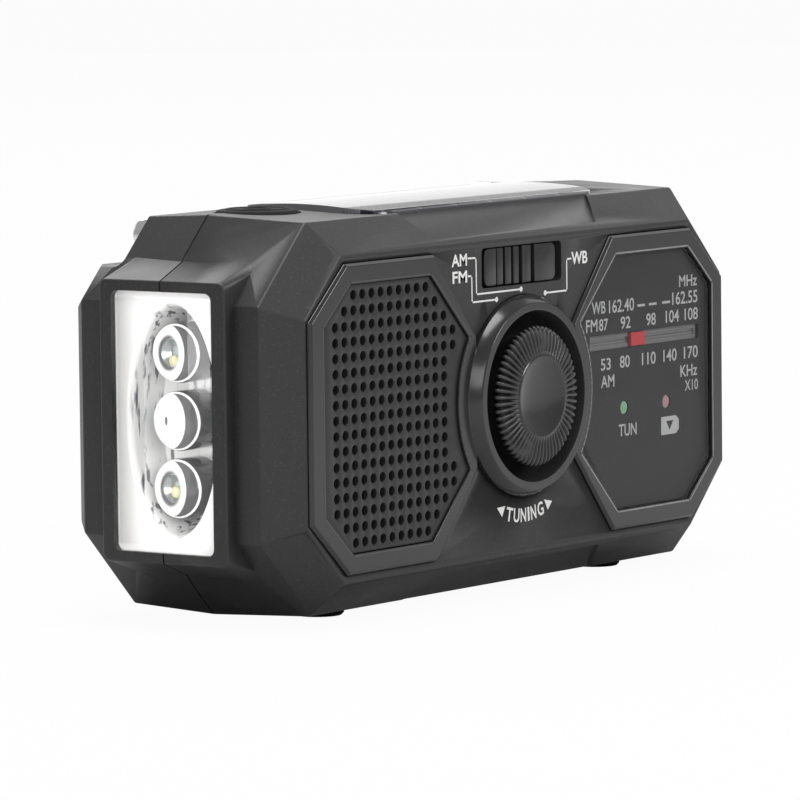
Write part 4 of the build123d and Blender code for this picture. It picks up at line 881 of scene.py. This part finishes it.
class RADIO_OT_knob(bpy.types.Operator):
    """Makes the ribbed tuning knob with its dished disc"""
    bl_idname = "radio.knob"
    bl_label = "Tuning knob"

    def execute(self, context):
        ridges = radio().knob_ridges
        outline = [
            (0, -3.15), (2.5, -3.22), (4.6, -3.45), (5.7, -3.72), (6.2, -3.86), (6.45, -3.9), (6.6, -3.88),
            (6.7, -3.78), (6.9, -3.75), (7.6, -3.72), (8.6, -3.64), (9.6, -3.5), (10.4, -3.3), (10.9, -3.08),
            (11.2, -2.75), (11.29, -2.4), (11.15, -2.1), (10.7, -1.9), (9.9, -1.85), (9.8, 1.6), (3.0, 1.6),
            (3.0, 9.6), (2.0, 9.6), (2.0, 12.0), (0, 12.0),
        ]
        centre = spot(0, 0, 0)
        bm = turned(outline, ridges * 8, centre)
        deepest, ribs_r, ribs_back = 0.5, 6.9, -1.88
        for v in bm.verts:
            out = v.co - centre
            radius = math.hypot(out.x, out.z) / MM
            if radius > ribs_r + 0.05 and out.y / MM < ribs_back:
                phase = math.atan2(out.z, out.x) / math.tau * ridges
                groove = abs(math.cos(math.pi * phase)) ** 3
                sink = deepest * groove * min(1, (radius - ribs_r) / 0.7)
                steep = min(1, max(0, (radius - 10.0) / 1.2))
                inward = -Vector((out.x, 0, out.z)).normalized()
                v.co += inward * (sink * steep * MM) + Vector((0, sink * (1 - steep * 0.5) * MM, 0))
        mesh = mesh_from(bm, "knob_ribbed", 50)
        add_piece("knob_ribbed", mesh, "tuning", "knob_ribs", "tuning_knob")
        return {"FINISHED"}


class RADIO_OT_slider(bpy.types.Operator):
    """Makes the band slider with its finger ridges"""
    bl_idname = "radio.slider"
    bl_label = "Band slider"

    def execute(self, context):
        bm = bmesh.new()
        end, low, high, ridge_back = 9.8, 18.0, 24.0, 1.0
        block(bm, spot(-end, 0.85, low), spot(end, 2.2, high))
        for left, right, front in (
                (-end, -6.5, 0.42), (-6.15, -4.45, 0.52), (-3.95, -2.25, 0.44), (-1.75, -0.15, 0.36),
                (0.32, 0.92, 0.08), (1.35, 3.25, 0.42), (3.9, end, 0.2)):
            block(bm, spot(left, front, low), spot(right, ridge_back, high))
        corners = [e for e in bm.edges if abs((e.verts[0].co - e.verts[1].co).normalized().y) > 0.99
                   and abs(e.verts[0].co.x) > (end - 0.1) * MM]
        rounded_edges(bm, corners, 1.2, 4)
        # The flange behind the face, and the peg that moves the switch.
        block(bm, spot(-12.7, 2.15, 17.0), spot(12.7, 2.9, 24.4))
        block(bm, spot(-1.5, 2.8, 20.1), spot(1.5, 8.0, 21.9))
        soften(bm, 0.16, 2)
        mesh = mesh_from(bm, "slider_ridged", 40)
        add_piece("slider_ridged", mesh, "band", "knob_plastic", "band_slider")
        return {"FINISHED"}


class RADIO_OT_torch(bpy.types.Operator):
    """Makes the torch's plated bowl and its three lamps"""
    bl_idname = "radio.torch"
    bl_label = "Torch optics"

    def execute(self, context):
        self.bowl()
        self.lamps()
        return {"FINISHED"}

    def ring(self, bm, x, half_w, half_h, steps):
        """An upright oval across the torch's axis; returns its edges."""
        low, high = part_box("torch_leds")
        ring = bmesh.ops.create_circle(bm, cap_ends=False, radius=1, segments=steps)["verts"]
        upright = Matrix(((0, 0, -1, x), (half_w * MM, 0, 0, (low.y + high.y) / 2),
                          (0, half_h * MM, 0, MIDDLE_Z), (0, 0, 0, 1)))
        bmesh.ops.transform(bm, matrix=upright, verts=ring)
        return [e for e in bm.edges if all(v in ring for v in e.verts)]

    def bowl(self):
        low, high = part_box("torch_reflector")
        plate_x = low.x
        steps, wall = 96, 0.5 * MM
        bm = bmesh.new()
        # depth, half width and half height of each ring
        sizes = [(0.0, 9.0, 18.75), (0.1, 8.75, 18.45), (0.4, 8.5, 18.1), (1.6, 8.1, 17.5), (3.4, 7.7, 16.8),
                 (5.2, 7.35, 16.1), (6.7, 7.0, 15.5)]
        rings = [self.ring(bm, plate_x + depth * MM, w, h, steps) for depth, w, h in sizes]
        for near, far in zip(rings, rings[1:]):
            bmesh.ops.bridge_loops(bm, edges=near + far)
        bmesh.ops.contextual_create(bm, geom=rings[-1])
        places = ((low.y, low.z), (high.y, low.z), (high.y, high.z), (low.y, high.z))
        corners = [bm.verts.new((plate_x, y, z)) for y, z in places]
        frame_edges = [bm.edges.new((corners[i], corners[(i + 1) % 4])) for i in range(4)]
        bmesh.ops.triangle_fill(bm, use_beauty=True, edges=frame_edges + rings[0], normal=(-1, 0, 0))
        self.facets(bm, plate_x)
        bmesh.ops.recalc_face_normals(bm, faces=bm.faces)
        if sum(f.normal.x * f.calc_area() for f in bm.faces) > 0:
            bmesh.ops.reverse_faces(bm, faces=bm.faces)
        bmesh.ops.solidify(bm, geom=bm.faces, thickness=wall)
        mesh = mesh_from(bm, "torch_bowl", 25)
        flatten(mesh, lambda face: abs(face.normal.x) > 0.9999)
        add_piece("torch_bowl", mesh, "case", "reflector_chrome", "torch_reflector")

    def facets(self, bm, plate_x):
        """Ripples the bowl's wall so that it glitters like a faceted reflector."""
        height, waves, twist = 0.12 * MM, 31, 2.3
        for v in bm.verts:
            depth = (v.co.x - plate_x) / MM
            if 1.0 < depth < 6.5:
                angle = math.atan2(v.co.z - MIDDLE_Z, v.co.y)
                v.co.x += height * math.sin(angle * waves + depth * twist)

    def lamps(self):
        base_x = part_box("torch_leds")[1].x
        outline = [(0, 0), (4.6, 0), (4.68, 1.0), (4.68, 6.1), (4.6, 6.5), (4.35, 6.82), (3.6, 7.02),
                   (2.4, 7.18), (1.2, 7.26), (0, 7.29)]
        cup = [(0, 5.2), (1.0, 5.2), (2.1, 6.2), (2.25, 6.2), (2.25, 0.4), (0, 0.4)]
        dot = [(0, 6.5), (0.5, 6.45), (0.85, 6.25), (0.95, 5.9), (0.95, 5.1), (0, 5.1)]
        for name, step, resin in (
                ("low", -1, "led_clear"), ("mid", 0, "lamp_milky"), ("top", 1, "led_clear")):
            centre = Vector((base_x, TORCH_Y, MIDDLE_Z + step * LAMP_PITCH * MM))
            piece = self.part("lamp_" + name, outline, centre, resin, "led_clear")
            if name == "mid":
                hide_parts("torch_leds")
                continue
            inner = centre + Vector((0, 1.0, 0)) * MM
            self.part("cup_" + name, cup, inner, "chip_cup", "steel")
            inner = centre + Vector((0, 0.75, -1.3 if step > 0 else -0.6)) * MM
            self.part("dot_" + name, dot, inner, "phosphor", "nylon")

    def part(self, name, outline, centre, material, slot):
        bm = turned(outline, 64, centre, axis=(-1, 0, 0), along=(0, 1, 0))
        return add_piece(name, mesh_from(bm, name, 40), "case", material, slot=slot)


class RADIO_OT_button(bpy.types.Operator):
    """Makes the torch's rubber button with its raised ring and dot"""
    bl_idname = "radio.button"
    bl_label = "Torch button"

    def execute(self, context):
        low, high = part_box("torch_button")
        centre = Vector(((low.x + high.x) / 2, (low.y + high.y) / 2, high.z))
        outline = [(0, -0.12), (1.5, -0.12), (1.6, 0), (2.1, 0), (2.2, -0.12), (4.4, -0.15), (4.5, -0.02),
                   (4.9, 0), (5.0, -0.14), (5.9, -0.18), (6.4, -0.34), (6.65, -0.7), (6.7, -1.1), (6.7, -3.0),
                   (7.6, -3.0), (7.6, -3.55), (1.5, -3.55), (1.5, -4.55), (0, -4.55)]
        bm = turned(outline, 96, centre, axis=(0, 0, 1))
        mesh = mesh_from(bm, "button_cap", 50)
        add_piece("button_cap", mesh, "button", "rubber_dark", "torch_button")
        return {"FINISHED"}


class RADIO_OT_face_print(bpy.types.Operator):
    """Prints the band names, their leader lines and the tuning legend on the face"""
    bl_idname = "radio.face_print"
    bl_label = "Face print"

    def execute(self, context):
        bm = bmesh.new()
        depth = -0.015
        for name in (("AM", -19.4, -15.2, 21.75, 23.7), ("FM", -19.2, -15.2, 19.1, 21.0),
                     ("WB", 14.1, 18.7, 20.05, 22.1)):
            add_words(bm, *name, depth, weight=0.022)
        width = 0.28
        add_stroke(bm, [(-14.85, 22.86), (-12.75, 22.83), (-12.65, 17.05), (-0.3, 17.05)], width, depth)
        add_stroke(bm, [(-14.9, 20.05), (-13.95, 20.03), (-13.9, 15.85), (-7.2, 15.85)], width, depth - 0.004)
        add_stroke(bm, [(13.9, 21.07), (12.72, 21.06), (12.74, 16.0), (6.5, 16.0)], width, depth)
        for x, z in ((-0.28, 17.05), (-7.14, 15.85), (6.51, 16.0)):
            add_disc(bm, x, z, 0.42, depth - 0.008)
        self.legend(bm, depth)
        face_out(bm)
        add_piece("face_print", mesh_from(bm, "face_print"), "case", "white_print", slot="led_clear")
        return {"FINISHED"}

    def legend(self, bm, depth):
        """Letters on an arc under the knob, with a triangle at each end."""
        centre = spot(0, 0, 0)
        inner, outer = 18.1, 20.35
        letters = [("T", -12.4, 1.8), ("U", -6.4, 1.6), ("N", -0.7, 1.55), ("I", 3.7, 0.5), ("N", 7.8, 1.5),
                   ("G", 13.9, 1.65)]
        for letter, angle, width in letters:
            turn = (centre, math.radians(-angle))
            add_words(bm, letter, -width / 2, width / 2, -outer, -inner, depth, turn, 0.022)
        for corners in (((5.64, -17.27), (7.92, -17.70), (6.7, -19.05)),
                        ((-7.58, -17.42), (-5.29, -17.31), (-6.21, -18.99))):
            bm.faces.new([bm.verts.new(spot(x, depth, z)) for x, z in corners])


class RADIO_OT_dial_print(bpy.types.Operator):
    """Prints the dial's scales and lamp marks, and adds its slot's lips and painted highlight lines along the
    edges round the panes
    """
    bl_idname = "radio.dial_print"
    bl_label = "Dial print"

    def execute(self, context):
        bm = bmesh.new()
        depth = (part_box("dial_plate")[0].y - FACE_Y) / MM - 0.015
        for name in DIAL_WORDS:
            add_words(bm, *name, depth)
        for x0, x1, z in DIAL_DASHES:
            add_stroke(bm, [(x0 + 0.2, z), (x1 - 0.2, z)], 0.4, depth)
        self.battery(bm, depth)
        face_out(bm)
        add_piece("dial_scales", mesh_from(bm, "dial_scales"), "case", "dial_ink", slot="led_clear")
        self.edges()
        self.lips()
        return {"FINISHED"}

    def lips(self):
        """Two lips that close the pointer's slot but for a fine gap."""
        low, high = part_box("pointer_track")
        middle = (low.z + high.z) / 2
        left, right, front, back, gap, reach = (v * MM for v in (0.95, 1.35, 0.32, 0.5, 0.05, 0.49))
        bm = bmesh.new()
        for side in (-1, 1):
            ends = sorted((middle + side * gap, middle + side * reach))
            block(bm, Vector((low.x + left, low.y + front, ends[0])),
                  Vector((high.x - right, low.y + back, ends[1])))
        add_piece("track_lips", mesh_from(bm, "track_lips"), "case", "track_grey", slot="track_grey")

    def edges(self):
        """The frame's rounded edge round both panes, as a thin painted highlight line just in front of the
        frame.
        """
        pane_sink, lift = 0.4, 0.01
        front = (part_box("dial_window")[0].y - FACE_Y) / MM - pane_sink - lift
        # painted highlights: pale lines that stand for light on the frame's rounded edges
        for side, width, name, material, slot in ((1, 0.24, "dial_edge", "painted_edge_highlight", "led_clear"),
                                                  (-1, 0.18, "grille_edge", "faint_painted_edge_highlight", "grille_plastic")):
            bm = bmesh.new()
            heights = [10.62 - 1.062 * k for k in range(21)]
            arc = [(math.sqrt((EDGE_LINE_R / MM) ** 2 - z * z), z) for z in heights]
            top = [(25.9, 21.18), (47.42, 21.18), (54.63, 14.72)]
            loop = top + [(x, -z) for x, z in reversed(top)] + arc[::-1] + top[:1]
            add_stroke(bm, [(side * x, z) for x, z in loop], width, front)
            face_out(bm)
            add_piece(name, mesh_from(bm, name), "case", material, slot=slot)

    def battery(self, bm, depth):
        """A cell with its cap and a dark wedge, cut as one print."""
        x0, x1, z0, z1 = 40.8, 45.2, -9.9, -6.9
        outside = [(x0, z0), (x1, z0), (x1 + 0.9, z0 + 0.7), (x1 + 0.9, z1 - 0.7), (x1, z1), (x0, z1)]
        wedge = [(x0 + 1.5, z1 - 0.75), (x1 - 0.75, z1 - 0.75), (x1 - 1.9, z0 + 0.75)]
        fresh = bmesh.new()
        for loop in (outside, wedge):
            ring = [fresh.verts.new(spot(x, depth, z)) for x, z in loop]
            for near, far in zip(ring, ring[1:] + ring[:1]):
                fresh.edges.new((near, far))
        bmesh.ops.triangle_fill(fresh, use_beauty=True, edges=fresh.edges, normal=(0, -1, 0))
        mesh = mesh_from(fresh, "cell_mark")
        bm.from_mesh(mesh)
        bpy.data.meshes.remove(mesh)


# words, then left, right, bottom and top in millimetres from the middle of the face
DIAL_WORDS = [
    ("MHz", 46.5, 51.9, 14.28, 16.18), ("WB", 20.6, 24.6, 11.44, 13.48), ("162.40", 25.6, 33.0, 11.35, 13.49),
    ("162.55", 44.4, 52.0, 11.43, 13.55), ("FM", 18.9, 22.2, 8.63, 10.66), ("87", 22.7, 25.3, 8.63, 10.58),
    ("92", 29.0, 31.9, 8.53, 10.54), ("98", 36.6, 39.4, 8.55, 10.56), ("104", 42.4, 46.4, 8.58, 10.63),
    ("108", 48.1, 52.1, 8.61, 10.62), ("53", 23.1, 26.0, 2.13, 4.1), ("80", 28.7, 31.6, 2.16, 4.15),
    ("110", 35.2, 39.3, 2.13, 4.17), ("140", 41.6, 45.6, 2.18, 4.23), ("170", 47.8, 52.0, 2.25, 4.28),
    ("AM", 23.1, 27.0, -0.71, 1.3), ("KHz", 46.7, 51.8, -0.69, 1.25), ("X10", 48.0, 52.0, -3.09, -1.3),
    ("TUN", 28.2, 33.45, -9.1, -7.1),
]
DIAL_DASHES = [(34.0, 36.2, 12.05), (37.4, 39.7, 12.05), (41.4, 43.7, 12.05)]  # left, right, height

# name, place, width and height in metres, watts
LIGHTS = (
    ("top_box", (-0.1, 0.0, 1.1), (0.7, 0.6), 9.0),
    ("front_box", (0.35, -1.1, 0.7), (0.45, 0.45), 6.2),
    ("low_wall", (1.95, 1.40, 0.23), (3.0, 0.46), 3.0),
    ("high_wall", (1.15, 1.08, 1.09), (1.2, 0.7), 9.0),
    ("right_wall", (1.50, -0.17, 1.05), (0.8, 0.6), 1.0),
    ("camera_box", (-0.75, -0.80, 0.42), (0.5, 0.4), 1.9),
)
TORCH_CARDS = (
    ("back_card", (-0.150, 0.064, 0.026), (0.30, 0.20), 0.125),
    ("side_card", (-0.40, -0.32, 0.10), (0.5, 0.4), 3.30),
)
LIGHTS_AIM = spot(0, 20, 0)
CARDS_AIM = Vector((-0.063, 0.002, 0.03))
CAMERA_SPOT = spot(-840.56, -580.56, 91.89)
CAMERA_ANGLES = (35.736, 5.17, -0.652)  # turn, dip and roll in degrees
ROOM_GLOW = ((1, 0.985, 0.98, 1), 0.42)
BACKDROP_GLOW = (WHITE, 1.0)
FLOOR_WHITE = 0.955
FLOOR_SHINE = 0.6


class RADIO_OT_stage(bpy.types.Operator):
    """Sets the pale floor, the soft lights and the camera"""
    bl_idname = "radio.stage"
    bl_label = "Stage"

    def execute(self, context):
        scene = context.scene
        self.floor()
        self.world(scene)
        for light in LIGHTS:
            self.light(*light, aim=LIGHTS_AIM)
        self.torch_cards()
        self.camera(scene)
        scene.view_settings.view_transform = "Standard"
        return {"FINISHED"}

    def floor(self):
        bm = bmesh.new()
        bmesh.ops.create_grid(bm, x_segments=2, y_segments=2, size=4)
        mesh = mesh_from(bm, "floor")
        sheet = bpy.data.objects.new("floor", mesh)
        bpy.context.scene.collection.objects.link(sheet)
        m = Finish("floor_pale")
        m.set(Base_Color=(0.62, 0.62, 0.62, 1), Roughness=0.9)
        x, y, z = m.axes()
        # The radio's gloss sees the floor shine only in this ring, in metres from the middle.
        ring = m.ramp((x * x + y * y).power(0.5), [(0.09, 0.0), (0.15, 1.0), (0.36, 1.0), (0.375, 0.0)])
        camera, glass, gloss = (m.node("ShaderNodeLightPath", out=f"Is {kind} Ray")
                                for kind in ("Camera", "Transmission", "Glossy"))
        glow = m.node("ShaderNodeEmission", values={"Color": WHITE, "Strength": 1.0})
        m.show_mix(m.most(m.most(camera, glass) * FLOOR_WHITE, gloss * ring * FLOOR_SHINE), {2: glow}, 1)
        mesh.materials.append(m.material)

    def world(self, scene):
        world = bpy.data.worlds.new("studio")
        scene.world = world
        world.use_nodes = True
        tree = world.node_tree
        tree.nodes.clear()
        out = tree.nodes.new("ShaderNodeOutputWorld")
        path = tree.nodes.new("ShaderNodeLightPath")
        mix = tree.nodes.new("ShaderNodeMixShader")
        for socket, (colour, strength) in enumerate((ROOM_GLOW, BACKDROP_GLOW), start=1):
            light = tree.nodes.new("ShaderNodeBackground")
            light.inputs["Color"].default_value = colour
            light.inputs["Strength"].default_value = strength
            tree.links.new(light.outputs[0], mix.inputs[socket])
        tree.links.new(path.outputs["Is Camera Ray"], mix.inputs[0])
        tree.links.new(mix.outputs[0], out.inputs[0])

    def light(self, name, place, size, power, aim):
        lamp = bpy.data.lights.new(name, "AREA")
        lamp.shape = "RECTANGLE"
        lamp.size, lamp.size_y = size
        lamp.energy = power
        holder = bpy.data.objects.new(name, lamp)
        bpy.context.scene.collection.objects.link(holder)
        holder.location = place
        holder.rotation_euler = (aim - Vector(place)).to_track_quat("-Z", "Y").to_euler()
        return holder

    def torch_cards(self):
        """Near cards that only the torch's plated parts and lamps see."""
        seen_by = bpy.data.collections.new("torch_parts")
        for piece in bpy.data.objects:
            if piece.name.startswith(("torch_", "lamp_", "cup_", "dot_")) and piece.type == "MESH":
                seen_by.objects.link(piece)
        for card in TORCH_CARDS:
            holder = self.light(*card, aim=CARDS_AIM)
            holder.light_linking.receiver_collection = seen_by

    def camera(self, scene):
        camera = bpy.data.cameras.new("view")
        camera.lens = radio().lens
        camera.sensor_width = 36
        camera.clip_end = 20
        holder = bpy.data.objects.new("view", camera)
        scene.collection.objects.link(holder)
        turn, dip, roll = (math.radians(a) for a in CAMERA_ANGLES)
        ahead = Vector((math.cos(turn) * math.cos(dip), math.sin(turn) * math.cos(dip), -math.sin(dip)))
        side = Vector((math.sin(turn), -math.cos(turn), 0))
        up = side.cross(ahead)
        right = side * math.cos(roll) + up * math.sin(roll)
        above = up * math.cos(roll) - side * math.sin(roll)
        pose = Matrix((right, above, -ahead)).transposed().to_4x4()
        holder.matrix_world = Matrix.Translation(CAMERA_SPOT) @ pose
        scene.camera = holder


class RADIO_PT_panel(bpy.types.Panel):
    """Shows the radio's settings and a button for each step"""
    bl_label = "Radio"
    bl_idname = "RADIO_PT_panel"
    bl_space_type = "VIEW_3D"
    bl_region_type = "UI"
    bl_category = "Radio"

    def draw(self, context):
        for name in RadioSettings.__annotations__:
            self.layout.prop(context.scene.radio, name)
        for step in STEPS:
            self.layout.operator(step.bl_idname)


STEPS = (RADIO_OT_finishes, RADIO_OT_skins, RADIO_OT_grille, RADIO_OT_knob, RADIO_OT_slider, RADIO_OT_torch,
         RADIO_OT_button, RADIO_OT_face_print, RADIO_OT_dial_print, RADIO_OT_stage)


def register():
    for kind in (RadioSettings, *STEPS, RADIO_PT_panel):
        bpy.utils.register_class(kind)
    bpy.types.Scene.radio = PointerProperty(type=RadioSettings)


def unregister():
    del bpy.types.Scene.radio
    for kind in (RADIO_PT_panel, *reversed(STEPS), RadioSettings):
        bpy.utils.unregister_class(kind)


def main():
    register()
    for step in STEPS:
        group, name = step.bl_idname.split(".")
        getattr(getattr(bpy.ops, group), name)()


if __name__ == "__main__":
    main()
